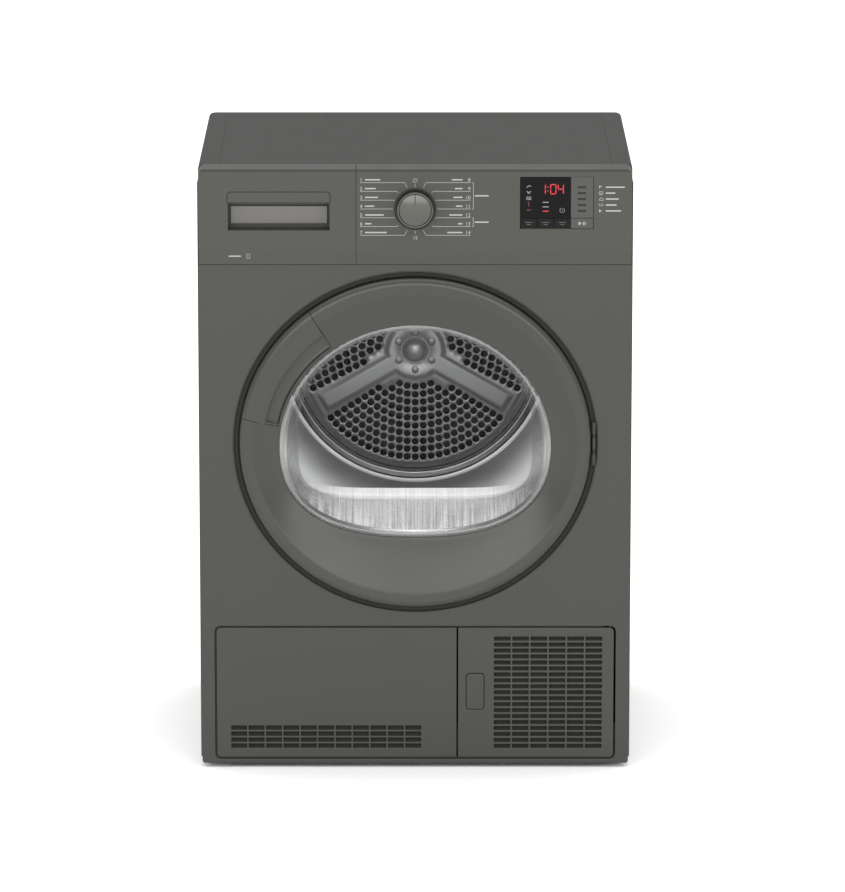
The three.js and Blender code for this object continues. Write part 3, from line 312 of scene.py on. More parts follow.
# ------------------------------------------------------------ outlines, in x and z
def on_ellipse(size, middle, angle):
    return (size[0] * math.cos(angle), middle + size[1] * math.sin(angle))


def on_opening(angle, grow=0.0, shape=OPENING):
    """The loading opening: round above, flattened below, moved outwards by grow."""
    below = math.sin(angle) < 0
    power = 2 / shape["flat"] if below else 1.0
    reach = (shape["down"] if below else shape["up"]) + grow

    def bend(value):
        return math.copysign(abs(value) ** power, value)
    return ((shape["half"] + grow) * bend(math.cos(angle)),
            shape["z"] + reach * bend(math.sin(angle)))


def on_slope(angle, share):
    """Across the door: share -1 is its outer edge, 0 the crease, 1 the edge of the glass."""
    x0, z0 = on_ellipse(CREASE, CREASE_Z, angle)
    x1, z1 = on_ellipse(DOOR, DOOR_Z, angle) if share < 0 else on_opening(angle)
    part = abs(share)
    return (x0 + (x1 - x0) * part, z0 + (z1 - z0) * part)


BAND_DISH = 0.7  # the flat band of the door is sunk by this much towards its crease


def slope_y(share):
    """Depth of the door's inner slope, from the crease at 0 to the glass at 1."""
    start = DOOR_Y + BAND_DISH
    return start + (GLASS_Y - start) * (1 - (1 - share) ** 1.15)


def rounded(left, right, low, high, radius, steps=6):
    """A rectangle's outline, with one radius or four, from low left anticlockwise."""
    radii = radius if isinstance(radius, tuple) else (radius,) * 4
    signs = ((-1, -1), (1, -1), (1, 1), (-1, 1))
    outline = []
    for turn, (r, (across, up)) in enumerate(zip(radii, signs)):
        x = (right if across > 0 else left) - across * r
        z = (high if up > 0 else low) - up * r
        count = steps if r else 0
        for i in range(count + 1):
            angle = math.pi * (1 + turn / 2) + (math.pi / 2) * (i / count if count else 0)
            outline.append((x + r * math.cos(angle), z + r * math.sin(angle)))
    return outline


def quarter(steps, first=0):
    """The angles of a quarter turn, without the first few if asked."""
    return [math.pi / 2 * i / steps for i in range(first, steps + 1)]


def circle(x, z, radius, steps):
    return [(x + radius * math.cos(2 * math.pi * i / steps),
             z + radius * math.sin(2 * math.pi * i / steps)) for i in range(steps)]


def round_the(outline, steps):
    return [outline(2 * math.pi * i / steps) for i in range(steps)]


# ------------------------------------------------------------ making pieces
def shown(name, mesh, body, slot, finish=None, stands_for=(), sharp=32):
    """Gives a mesh its finish and smooth shading, and lets it ride on its body."""
    mesh.materials.clear()
    mesh.materials.append(finish or FINISH[slot])
    mesh.shade_smooth()
    mesh.set_sharp_from_angle(angle=math.radians(sharp))
    made = bpy.data.objects.new(name, mesh)
    scene.collection.objects.link(made)
    weighted = made.modifiers.new("flat_faces_first", "WEIGHTED_NORMAL")
    weighted.keep_sharp = True
    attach(made, body)
    if stands_for:
        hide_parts(*stands_for)
    return made


def mesh_of(name, points, faces, outward=True):
    mesh = bpy.data.meshes.new(name)
    mesh.from_pydata([Vector(point) * MM for point in points], [], faces)
    work = bmesh.new()
    work.from_mesh(mesh)
    bmesh.ops.remove_doubles(work, verts=work.verts, dist=1e-6)
    if outward:
        bmesh.ops.recalc_face_normals(work, faces=work.faces)
    work.to_mesh(mesh)
    work.free()
    return mesh


def woven(rings, closed=True, endless=False):
    """Points and faces of a skin over rings; endless joins the last ring to the first."""
    around = len(rings[0])
    faces = []
    for r in range(len(rings) if endless else len(rings) - 1):
        s = (r + 1) % len(rings)
        for i in range(around if closed else around - 1):
            j = (i + 1) % around
            faces.append((r * around + i, r * around + j, s * around + j, s * around + i))
    return [point for ring in rings for point in ring], faces


def strip(path, section):
    """A closed section run along an open path, with its two ends filled."""
    rings = [path(*place) for place in section]
    points, faces = woven(rings, closed=False, endless=True)
    starts = [i * len(rings[0]) for i in range(len(rings))]
    faces.append(tuple(starts))
    faces.append(tuple(i + len(rings[0]) - 1 for i in reversed(starts)))
    return points, faces


def merged(*parts):
    points, faces = [], []
    for more_points, more_faces in parts:
        start = len(points)
        points += more_points
        faces += [tuple(i + start for i in face) for face in more_faces]
    return points, faces


def turned(profile, x, z, steps=64):
    """A profile of (radius, y) pairs turned about the line through x and z."""
    angles = [2 * math.pi * i / steps for i in range(steps)]
    rings = [[(x + r * math.cos(a), y, z + r * math.sin(a)) for a in angles] for r, y in profile]
    return woven(rings)


def ring_at(y, outline, steps=96):
    return [(x, y, z) for x, z in round_the(outline, steps)]


def door_ring(y, size):
    """A ring round the middle of the door, with its two half axes."""
    return ring_at(y, lambda angle: on_ellipse(size, DOOR_Z, angle), 144)


def opening_ring(y, grow, shape=OPENING):
    return ring_at(y, lambda angle: on_opening(angle, grow, shape))


def swept(section, start, end, steps):
    """A closed section of (share, y) pairs run round the door's slope, its two ends filled."""
    rings = []
    for i in range(steps + 1):
        angle = start + (end - start) * i / steps
        rings.append([(*on_slope(angle, share)[:1], y, on_slope(angle, share)[1])
                      for share, y in section])
    points, faces = woven(rings)
    count = len(section)
    flat = [[Vector((share * 30, y, 0)) for share, y in section]]
    for triangle in geometry.tessellate_polygon(flat):
        faces.append(tuple(triangle))
        faces.append(tuple(i + steps * count for i in reversed(triangle)))
    return points, faces


def stood_up(curve, x, y, z):
    """The mesh of a flat curve, stood upright at a place."""
    holder = bpy.data.objects.new(curve.name, curve)
    scene.collection.objects.link(holder)
    bpy.context.view_layer.update()
    depsgraph = bpy.context.evaluated_depsgraph_get()
    mesh = bpy.data.meshes.new_from_object(holder.evaluated_get(depsgraph))
    bpy.data.objects.remove(holder)
    mesh.transform(Matrix.Translation((x * MM, y * MM, z * MM))
                   @ Matrix.Rotation(math.pi / 2, 4, "X"))
    return mesh


def plate(name, outlines, front, rear, edge):
    """A flat piece with rounded edges, from y front to y rear; later outlines are holes."""
    curve = bpy.data.curves.new(name, "CURVE")
    curve.dimensions = "2D"
    curve.fill_mode = "BOTH"
    curve.extrude = ((rear - front) / 2 - edge) * MM
    curve.bevel_depth = edge * MM
    curve.bevel_resolution = 2
    curve.offset = -edge * MM
    for outline in outlines:
        spline = curve.splines.new("POLY")
        spline.points.add(len(outline) - 1)
        for point, (x, z) in zip(spline.points, outline):
            point.co = (x * MM, z * MM, 0, 1)
        spline.use_cyclic_u = True
    mesh = stood_up(curve, 0, (front + rear) / 2, 0)
    work = bmesh.new()
    work.from_mesh(mesh)
    bmesh.ops.remove_doubles(work, verts=work.verts, dist=1e-6)
    work.to_mesh(mesh)
    work.free()
    return mesh


def skin(name, points_and_faces, body, slot, finish=None, stands_for=(), sharp=32):
    return shown(name, mesh_of(name, *points_and_faces), body, slot, finish, stands_for, sharp)


def join_into(mesh, others):
    """Adds other meshes to a mesh and removes them."""
    work = bmesh.new()
    work.from_mesh(mesh)
    for other in others:
        work.from_mesh(other)
        bpy.data.meshes.remove(other)
    work.to_mesh(mesh)
    work.free()


def add_parts(mesh, points_and_faces):
    join_into(mesh, [mesh_of("extra", *points_and_faces)])


def bar(x0, x1, y0, y1, z0, z1):
    corners = [(x, y, z) for x in (x0, x1) for y in (y0, y1) for z in (z0, z1)]
    sides = [(0, 1, 3, 2), (4, 6, 7, 5), (0, 4, 5, 1), (2, 3, 7, 6), (0, 2, 6, 4), (1, 5, 7, 3)]
    return corners, sides


def prism(outline, front, rear):
    """A convex outline in x and z, from y front to y rear."""
    count = len(outline)
    rings = [[(x, y, z) for x, z in outline] for y in (front, rear)]
    points, faces = woven(rings)
    return points, faces + [tuple(range(count)), tuple(range(count, 2 * count))]


def inked(face):
    """Front and rear of a printed mark, which stands a hair proud of the face it is on."""
    return face - 0.15, face + 0.05


def printed(outline, face):
    return prism(outline, *inked(face))


def stroke(start, end, width, face):
    (x0, z0), (x1, z1) = start, end
    length = math.hypot(x1 - x0, z1 - z0)
    nx, nz = -(z1 - z0) / length * width / 2, (x1 - x0) / length * width / 2
    outline = [(x0 + nx, z0 + nz), (x0 - nx, z0 - nz), (x1 - nx, z1 - nz), (x1 + nx, z1 + nz)]
    return printed(outline, face)


def line(points, width, face):
    return merged(*[stroke(a, b, width, face) for a, b in zip(points, points[1:])])


def open_ring(x, z, radius, start):
    """Points of a ring that is open at the top, from a start in degrees to its mirror."""
    turns = [math.radians(a) for a in range(start, 541 - start, 20)]
    return [(x + radius * math.cos(a), z + radius * math.sin(a)) for a in turns]


def dot(x, z, radius, face):
    return printed(circle(x, z, radius, 16), face)


def soften(node, width=0.8, finish=None):
    """Rounds the edges of a node of the frame and gives it its finish."""
    piece = frame["nodes"][node]
    weld = piece.modifiers.new("one_skin", "WELD")
    weld.merge_threshold = 1e-5
    bevel = piece.modifiers.new("soft_edges", "BEVEL")
    bevel.width = width * MM
    bevel.segments = 2
    bevel.limit_method = "ANGLE"
    bevel.angle_limit = math.radians(40)
    for place in piece.material_slots:
        place.material = finish
    return piece


# ------------------------------------------------------------ cabinet front
def front_panel():
    """The panel's sheet with its dished recess for the door, the kick opening and folded sides."""
    edge = 0.7
    outside = rounded(-FRONT_HALF, FRONT_HALF, panel_low.z, panel_high.z, (4, 4, 0, 0))
    lip = 2.2  # radius at the mouth of the recess
    wide = (RECESS[0] + lip, RECESS[1] + lip)
    hole = round_the(lambda t: on_ellipse(wide, DOOR_Z, t), 144)
    kick = rounded(-KICK["half"], KICK["half"], KICK["low"], KICK["high"], 8)
    mesh = plate("front_panel_skin", [outside, hole, kick], PANEL_Y, PANEL_Y + SHEET, edge)
    rings = []
    for turn in quarter(6):
        size = (wide[0] - lip * math.sin(turn), wide[1] - lip * math.sin(turn))
        rings.append(door_ring(PANEL_Y + lip * (1 - math.cos(turn)), size))
    foot = 2.5  # radius at its floor
    for turn in quarter(6):
        size = [reach - foot * (1 - math.cos(turn)) for reach in RECESS]
        rings.append(door_ring(FLOOR_Y - foot * (1 - math.sin(turn)), size))
    for y in (FLOOR_Y, FLOOR_Y + SHEET):
        rings.append(ring_at(y, lambda t: on_opening(t, 13), 144))
    rings += [door_ring(FLOOR_Y + SHEET, RECESS), door_ring(PANEL_Y + 1, wide)]
    add_parts(mesh, woven(rings, endless=True))
    side = [bar(s * (FRONT_HALF - 0.75) - 0.75, s * (FRONT_HALF - 0.75) + 0.75,
                PANEL_Y + 0.7, PANEL_Y + 4.7, panel_low.z + 5, panel_high.z - 0.5)
            for s in (-1, 1)]
    add_parts(mesh, merged(*side))
    shown("front_panel_skin", mesh, "cabinet", "body_paint", stands_for=["front_panel"])


def groove_ring():
    """A dark ring in the gap round the door: painted shade in the groove."""
    depth = 3.4
    start = PANEL_Y + depth
    inner = 0.8  # clear of the door's edge
    rings = []
    for grow, y in ((inner, start + 1.6), (inner, start + 0.5), (inner + 0.6, start),
                    (7, start), (7, start + 1.6)):
        rings.append(door_ring(y, (DOOR[0] + grow, DOOR[1] + grow)))
    skin("door_groove_shade", woven(rings, endless=True), "cabinet", "rubber", SHADOW_GREY)


SLOT_EDGE = 0.9  # rounding of the vent slots
SPLIT_HALF = 0.5  # added on each side of the gap between the kick cover and its flap


def kick_groove():
    """A dark strip of painted shade behind the gap round the kick cover; it stops short of the
    flap's hinge.
    """
    wide = 2.4
    end = flap_high.x - 14
    radius = 8

    def path(inset, y):
        left, low, high = -KICK["half"] + inset, KICK["low"] + inset, KICK["high"] - inset
        r = radius - inset
        arc = quarter(6)
        above = [(left + r - r * math.sin(a), y, high - r + r * math.cos(a)) for a in arc]
        below = [(left + r - r * math.cos(a), y, low + r - r * math.sin(a)) for a in arc]
        return [(end, y, high), *above, *below, (end, y, low)]

    section = ((0.05, PANEL_Y + 2.2), (wide, PANEL_Y + 2.2), (wide, PANEL_Y + 3.2),
               (0.05, PANEL_Y + 3.2))
    skin("kick_groove_shade", strip(path, section), "cabinet", "rubber", SHADOW_GREY)


def louvres(left, right, columns, width, low, high, rows, height):
    """The slots of a vent grid, and the slanted blades behind them."""
    holes, blades = [], []
    for k in range(rows):
        z = low + (high - height - low) * k / (rows - 1)
        for i in range(columns):
            x = left + (right - width - left) * i / (columns - 1)
            holes.append(rounded(x, x + width, z, z + height, 0.5, 2))
        blades.append(([(x, y, z + rise) for x in (left - 2, right + 2)
                        for y, rise in ((PANEL_Y + 2.4, -1.0), (PANEL_Y + 6.5, height - 0.6),
                                        (PANEL_Y + 6.9, height - 1.2), (PANEL_Y + 3, -1.8))],
                       [(0, 1, 5, 4), (1, 2, 6, 5), (2, 3, 7, 6), (3, 0, 4, 7),
                        (0, 3, 2, 1), (4, 5, 6, 7)]))
    return holes, merged(*blades)


def kick_cover():
    """The plain cover with its row of vent slots, and the blades behind them."""
    holes, blades = louvres(left=-256.5, right=8, columns=11, width=21.5,
                            low=27.9, high=59.7, rows=4, height=5.9)
    outside = rounded(cover_low.x, cover_high.x - SPLIT_HALF, cover_low.z, cover_high.z,
                      (5.5, 0, 0, 5.5))
    mesh = plate("kick_cover_skin", [outside, *holes], PANEL_Y, PANEL_Y + 3, SLOT_EDGE)
    skin("kick_cover_blades", blades, "cabinet", "body_paint",
          SHADOW_GREY)
    shown("kick_cover_skin", mesh, "cabinet", "body_paint", stands_for=["kick_cover"])


def kick_flap():
    """The vented flap with its hinge pins and their lugs."""
    holes, blades = louvres(left=109.9, right=259.9, columns=6, width=22.6,
                            low=27.7, high=187.5, rows=19, height=5.4)
    gap = 0.6
    right = KICK["half"] - 2.5
    outside = rounded(flap_low.x + SPLIT_HALF, right, cover_low.z, cover_high.z, (0, 5.5, 5.5, 0))
    button = rounded(LATCH_LEFT - gap, latch_high.x + gap, latch_low.z - gap, latch_high.z + gap, 5)
    mesh = plate("kick_flap_skin", [outside, button, *holes], PANEL_Y, PANEL_Y + 3, SLOT_EDGE)
    skin("kick_flap_blades", blades, "flap", "body_paint",
          SHADOW_GREY)
    pin_x, pin_y = 271, PANEL_Y + 4.9
    pins = []
    for low, high in ((KICK["low"] - 5, KICK["low"] + 12), (KICK["high"] - 12, KICK["high"] + 5)):
        rings = [[(pin_x + r * math.cos(a), pin_y + r * math.sin(a), z)
                  for a in [2 * math.pi * i / 20 for i in range(20)]]
                 for r, z in ((0, low), (1.6, low), (2, low + 0.4), (2, high - 0.4), (1.6, high),
                              (0, high))]
        pins.append(woven(rings))
    lugs = [bar(pin_x - 2, pin_x + 2, PANEL_Y + 2.5, pin_y, z, z + 7)
            for z in (KICK["low"] + 4, KICK["high"] - 11)]
    add_parts(mesh, merged(*pins, *lugs))
    shown("kick_flap_skin", mesh, "flap", "body_paint", stands_for=["kick_flap"])


LATCH_LEFT = latch_low.x + 8  # the latch's tongue reaches past its button by this much


def flap_latch():
    """The latch's button, with the tongue that holds the flap."""
    outline = rounded(LATCH_LEFT, latch_high.x, latch_low.z, latch_high.z, 4.5)
    mesh = plate("flap_latch_button", [outline], PANEL_Y - 0.4, PANEL_Y + 7, 0.6)
    middle = (latch_low.z + latch_high.z) / 2
    add_parts(mesh, bar(latch_low.x, LATCH_LEFT + 2, PANEL_Y + 4.5, PANEL_Y + 6.5,
                          middle - 8, middle + 8))
    shown("flap_latch_button", mesh, "latch", "body_paint", stands_for=["flap_latch"])


# ------------------------------------------------------------ worktop
def worktop():
    """The frame of the worktop, rounded over its sides and rear, and the panel let into it."""
    low, high = span("worktop_frame")
    inlay_low, inlay_high = span("worktop_inlay")
    fillet, corner = 6.5, 11
    side_width = high.x - inlay_high.x - 0.05
    rear_width = high.y - inlay_high.y - 0.05

    def path(side_inset, rear_inset, z):
        r = max(corner - min(side_inset, rear_inset), 0.01)
        x, y = high.x - side_inset, high.y - rear_inset
        arc = quarter(8)
        left = [(-x + r - r * math.cos(a), y - r + r * math.sin(a), z) for a in arc]
        right = [(x - r + r * math.sin(a), y - r + r * math.cos(a), z) for a in arc]
        return [(-x, low.y, z), *left, *right, (x, low.y, z)]

    section = [(0, 0, low.z), (0, 0, high.z - fillet)]
    for turn in quarter(8, 1):
        inset = fillet * (1 - math.cos(turn))
        section.append((inset, inset, high.z - fillet * (1 - math.sin(turn))))
    section += [(side_width - 0.5, rear_width - 0.5, high.z),
                (side_width, rear_width, high.z - 0.5), (side_width, rear_width, low.z)]
    skin("worktop_border", strip(path, section), "cabinet", "top_plastic",
         stands_for=["worktop_frame"])
    slab = bar(-inlay_high.x - 0.04, inlay_high.x + 0.04, low.y, inlay_high.y + 0.04,
               inlay_low.z, inlay_high.z)
    made = skin("worktop_panel", slab, "cabinet", "top_plastic", stands_for=["worktop_inlay"])
    edges = made.modifiers.new("soft_edges", "BEVEL")
    edges.width = 0.3 * MM
    edges.segments = 2


# ------------------------------------------------------------ controls
def knob():
    """The knob with a dished face and a rounded rim, and the pointer printed on it."""
    front, back = knob_low.y, FASCIA_Y + 0.7
    face_r, rim_r = 21.9, 25
    dome = 2.2
    profile = [(0, front + 0.4)]
    profile += [(face_r * i / 12, front + 0.4 + dome * (i / 12) ** 2) for i in range(1, 12)]
    profile += [
        (face_r - 0.4, front + 2.5), (face_r, front + 3.2), (face_r + 0.5, front + 2.3),
        (face_r + 1.1, front + 1.9), (rim_r - 1, front + 2.1), (rim_r - 0.3, front + 2.7),
        (rim_r, front + 3.8), (KNOB_SKIRT - 0.6, back - 2), (KNOB_SKIRT, back), (3, back),
        (3, back + 17), (0, back + 17),
    ]
    skin("knob_turned", turned(profile, 0, CONTROL_Z, 96), "knob", "fascia_plastic", KNOB_FINISH,
         ["programme_knob"])
    start, end = 8, 21
    mark = []
    for share in range(7):
        r = start + (end - start) * share / 6
        y = front + 0.4 + dome * (r / face_r) ** 2
        mark.append([(-0.7, y - 0.12, CONTROL_Z + r), (0.7, y - 0.12, CONTROL_Z + r),
                     (0.7, y + 0.4, CONTROL_Z + r), (-0.7, y + 0.4, CONTROL_Z + r)])
    points, faces = woven(mark)
    last = len(points)
    faces += [(0, 1, 2, 3), (last - 4, last - 3, last - 2, last - 1)]
    skin("knob_pointer", (points, faces), "knob", "dark_plastic")


def knob_well():
    """The dark ring of the well that the knob stands in."""
    inner, outer = 20, 28.9
    section = [(inner, 1.4), (outer - 0.6, 1.4), (outer, 0.7), (outer, -0.1), (outer - 0.5, -0.1),
               (outer - 1.1, 1.1), (inner, 1.1), (inner, 1.4)]
    profile = [(radius, FASCIA_Y + behind) for radius, behind in section]
    skin("knob_well_ring", turned(profile, 0, CONTROL_Z, 96), "cabinet", "dark_plastic")


def seven_segment(digit, x, z, width, height, thick, face):
    """One digit of the display; z is its lower edge."""
    lit = {"1": "bc", "0": "abcdef", "4": "bcfg"}[digit]
    middle, top = z + height / 2, z + height
    gap = 0.18
    left, right = x, x + width
    places = {
        "a": ((left, top), (right, top)), "g": ((left, middle), (right, middle)),
        "d": ((left, z), (right, z)), "b": ((right, middle), (right, top)),
        "c": ((right, z), (right, middle)), "f": ((left, middle), (left, top)),
        "e": ((left, z), (left, middle)),
    }
    parts = []
    half = thick / 2
    for name in lit:
        (x0, z0), (x1, z1) = places[name]
        end = x1 - x0 + z1 - z0 - gap
        hexagon = ((gap, 0), (half + gap, half), (end - half, half), (end, 0),
                   (end - half, -half), (half + gap, -half))
        outline = [(x0 + along, z0 + across) if z0 == z1 else (x0 + across, z0 + along)
                   for along, across in hexagon]
        parts.append(printed(outline, face))
    return merged(*parts)


def display():
    """A time in lit digits, with small plain symbols beside and below it."""
    face = display_low.y
    left = 144
    digits = [seven_segment(digit, x, 813, width, 13, 1.3, face)
              for digit, x, width in (("1", 174.5, 3.6), ("0", 185.3, 7.2), ("4", 195.6, 7.2))]
    digits += [dot(181.4, z, 0.75, face) for z in (816.9, 822.5)]
    lit_bar = bar(174.6, 182.6, *inked(face), 788.3, 789.6)
    skin("display_digits", merged(*digits, lit_bar), "cabinet", "display_black", LIT_RED)
    bars = [bar(174.6, 182.6, *inked(face), z, z + 1.2) for z in (794.4, 800.7)]
    x = left + 11.5
    thread = [line([(x - 2.8, 822), (x + 0.5, 824.2), (x + 3, 823.4)], 1.1, face),
              line([(x - 3, 816.8), (x, 814.6), (x + 3, 816.8)], 0.9, face),
              line([(x - 2, 813.8), (x + 2, 813.8)], 0.7, face)]
    sheet = [line([(x - 3.4, z), (x + 3.4, z)], 0.8, face) for z in (805.2, 806.9, 808.6)]
    clock_x, clock_z, reach = 201.3, 790.3, 3.2
    ring = open_ring(clock_x, clock_z, reach, 110)
    clock = [line(ring, 0.5, face), line([(clock_x, clock_z + 1.8), (clock_x, clock_z),
                                          (clock_x + 1.4, clock_z)], 0.45, face)]
    skin("display_symbols", merged(*bars, *thread, *sheet, *clock), "cabinet",
         "display_black", LIT_GREY)
    warm = [dot(x, 800.3, 1.0, face), line([(x, 795.6), (x, 799.6)], 0.9, face),
            line([(x - 2.8, 789.6), (x - 1.2, 791.4), (x - 0.2, 789.6)], 0.8, face),
            line([(x + 0.6, 791.4), (x + 1.6, 789.8), (x + 2.8, 791.4)], 0.8, face)]
    skin("display_warm_symbols", merged(*warm), "cabinet", "display_black", DARK_RED)


def indicator_bars():
    """The unlit lamps, one over another."""
    face = leds_low.y
    middle = (leds_low.x + leds_high.x) / 2 - 0.3
    bars = [bar(middle - 5.7, middle + 5.7, face - 0.12, face + 0.05, z - 1.4, z + 1.4)
            for z in LAMP_HEIGHTS]
    skin("indicator_bars", merged(*bars), "cabinet",
          "indicator_grey", LED_OFF)


def key_marks():
    """Plain marks on the keys: dashes, a play triangle and two pause bars."""
    names = ("left", "middle", "right")
    for name in names:
        low, high = span(f"function_key_{name}")
        x, z = (low.x + high.x) / 2, (low.z + high.z) / 2
        marks = [line([(x - 5, z + 1.4), (x + 5, z + 1.4)], 0.7, low.y),
                 line([(x - 3, z - 1.6), (x + 3, z - 1.6)], 0.7, low.y)]
        skin(f"key_{name}_mark", merged(*marks), f"key_{name}", "key_black", DIM_PRINT)
    x, z = (start_low.x + start_high.x) / 2, (start_low.z + start_high.z) / 2
    face = start_low.y
    marks = [printed([(x - 4.6, z + 2.4), (x - 4.6, z - 2.4), (x - 0.6, z)], face),
             bar(x + 1.4, x + 2.5, *inked(face), z - 2.3, z + 2.3),
             bar(x + 3.7, x + 4.8, *inked(face), z - 2.3, z + 2.3)]
    skin("start_key_mark", merged(*marks), "key_start",
          "key_black", PRINT)


def numeral(text, x, z, size, anchor):
    """A number printed on the fascia, standing on height z."""
    curve = bpy.data.curves.new("numeral", "FONT")
    curve.body = text
    curve.size = size * MM
    curve.align_x = anchor
    curve.extrude = 0.1 * MM
    return stood_up(curve, x, FASCIA_Y - 0.05, z)


LEADER_REACH = (30.4, 27.9, 24.6, 14.5)  # near end of each leader line, from the middle out
LEADER_LEAN = ((0, 0), (0, 0), (-1.8, -2), (-3.4, -7))  # and the stub that turns to the knob
WORD_LENGTHS = (21, 15, 18, 13, 26, 9, 30)  # plain bars where a programme's name would stand
LAMP_HEIGHTS = (789.3, 797.5, 805.8, 814, 822.2)
CHIN_TOP = 734  # below this the fascia leans back to the front panel
CHIN_LEAN = (PANEL_Y - FASCIA_Y) / (CHIN_TOP - fascia_low.z)


def word_bar(x, z, length, face):
    """A plain bar of about the length and height of a small word; x is its left end."""
    return printed(rounded(x, x + length, z - 0.9, z + 0.9, 0.5, 3), face)


def dial_printing():
    """Leader lines and numbers round the knob, brackets beside them, marks at the lamps."""
    face = FASCIA_Y
    width = 0.6
    rise = 12.2
    outer = 75.8
    lines, numbers = [], []
    for step in range(-3, 4):
        z = CONTROL_Z + rise * step
        end = LEADER_REACH[abs(step)]
        lean_in, lean_up = LEADER_LEAN[abs(step)]
        for side in (-1, 1):
            points = [(side * outer, z), (side * end, z)]
            if lean_in:
                points.append((side * (end + lean_in), z + math.copysign(lean_up, -step)))
            lines.append(line(points, width, face))
            order = 3 - step + (1 if side < 0 else 8)
            numbers.append(numeral(str(order), side * outer, z + 1.4, 7,
                                   "LEFT" if side < 0 else "RIGHT"))
            length = WORD_LENGTHS[3 - step] * (1 if side < 0 else 0.7)
            start = -outer + 7 if side < 0 else outer - 11 - length
            lines.append(word_bar(start, z + 3.9, length, face))
    for low, high in ((CONTROL_Z, CONTROL_Z + 3 * rise), (CONTROL_Z - 2 * rise, CONTROL_Z - rise)):
        lines.append(line([(77.6, high), (79.6, high), (79.6, low), (77.6, low)], width, face))
        lines.append(word_bar(81.6, (low + high) / 2, 19, face))
    for side in (-1, 1):
        near, far = CONTROL_Z + side * 30.2, CONTROL_Z + side * 34.6
        lines.append(line([(0, near), (0, far)], width, face))
    lines.append(line(open_ring(0, CONTROL_Z + 39.6, 2.8, 120), width, face))
    lines.append(line([(0, CONTROL_Z + 39.6), (0, CONTROL_Z + 43)], width, face))
    numbers.append(numeral("15", 0, CONTROL_Z - 42.5, 7, "CENTER"))
    for index, z in enumerate(LAMP_HEIGHTS):
        lines += lamp_symbol(index, leds_high.x + 8, z, face)
        lines.append(word_bar(leds_high.x + 17, z, WORD_LENGTHS[index], face))
    mesh = mesh_of("dial_printing", *merged(*lines))
    join_into(mesh, numbers)
    shown("dial_printing", mesh, "cabinet", "fascia_plastic", PRINT)


def drawer_marks():
    """A bar and a small rectangle on the leaning foot of the drawer's front."""
    face = FASCIA_Y
    outline = [(-231, 723), (-227, 723), (-227, 729), (-231, 729), (-231, 723)]
    points, faces = merged(word_bar(-256, 726, 17, face), line(outline, 0.6, face))
    leaning = [(x, y + (CHIN_TOP - z) * CHIN_LEAN, z) for x, y, z in points]
    skin("drawer_marks", (leaning, faces), "tank_drawer", "fascia_plastic", PRINT)


def lamp_symbol(index, x, z, face):
    """A small pictogram beside each lamp: play, waves, iron, cupboard, flag."""
    thin = 0.6
    if index == 0:
        return [printed([(x, z + 2), (x, z - 2), (x + 3.6, z)], face)]
    if index == 1:
        return [line([(x + k, z - 2), (x + k + 0.9, z - 0.6), (x + k, z + 0.6),
                      (x + k + 0.9, z + 2)], thin, face) for k in (0, 2.3, 4.6)]
    if index == 2:
        return [line([(x, z - 1.8), (x + 6.4, z - 1.8), (x + 5.2, z + 0.6), (x + 1.8, z + 1.8),
                      (x, z - 1.8)], thin, face)]
    if index == 3:
        return [line([(x, z - 2), (x + 5, z - 2), (x + 5, z + 2), (x, z + 2), (x, z - 2)],
                     thin, face),
                line([(x + 2.5, z - 2), (x + 2.5, z + 2)], thin, face)]
    return [line([(x, z - 2.2), (x, z + 2.2)], thin, face),
            printed([(x, z + 2.2), (x, z - 0.2), (x + 4.4, z + 1)], face)]


def start_key_frame():
    """The thin dark line round the start key."""
    left, right = start_low.x - 0.2, start_high.x + 0.2
    low, high = start_low.z - 0.2, start_high.z + 0.3
    corners = [(left, low), (right, low), (right, high), (left, high), (left, low)]
    skin("start_key_frame", line(corners, 0.7, FASCIA_Y - 0.45), "cabinet", "key_black")


# ------------------------------------------------------------ tank drawer
GRIP_LEFT, GRIP_RIGHT = -257, -117


def drawer_recess():
    """The back of the drawer's grip, painted pale as lit, and its walls in painted shade."""
    drawer_y = span("tank_drawer_front")[0].y
    left, right, low, high, depth = GRIP_LEFT, GRIP_RIGHT, 762, 801, 24
    back = drawer_y + depth
    outline = rounded(left + 3.4, right - 3.4, low + 6, 793, 1.2)
    mesh = plate("drawer_grip_plate", [outline], back - 4, back - 0.4, 0.8)
    shown("drawer_grip_plate", mesh, "tank_drawer", "fascia_plastic", LIT_RECESS_PLATE)
    front = drawer_y + 1.2
    skins = []
    wall = 0.35
    for x in (left, right - wall):
        skins.append(bar(x, x + wall, front, back, low, high + 12))
    skins.append(bar(left, right, front, back, low, low + wall))
    skins.append(bar(left, right, back - wall, back, low, high + 12))
    skin("drawer_grip_walls_shade", merged(*skins), "tank_drawer", "dark_plastic", RECESS_WALL_SHADE)
    groove = rounded(left - 1.2, right + 1.2, 800.6, 816.1, (0, 0, 5.5, 5.5))
    inner = rounded(left, right, 800.4, 814.9, (0, 0, 5, 5))
    mesh = plate("drawer_cap_groove", [groove, inner], drawer_y - 0.1, drawer_y + 0.1, 0.03)
    shown("drawer_cap_groove", mesh, "tank_drawer", "dark_plastic", SHADOW_GREY)


# ------------------------------------------------------------ door
FRONT_EDGE = [
    (-1, 6.5), (-0.97, 4.4), (-0.91, 2.9), (-0.82, 1.6), (-0.72, 0.7), (-0.62, 0.15), (-0.54, 0),
    (-0.1, BAND_DISH - 0.05), (-0.02, BAND_DISH + 0.02),
]


HANDLE_SEAM = 0.0016  # half the seam at each end of the handle, in radians


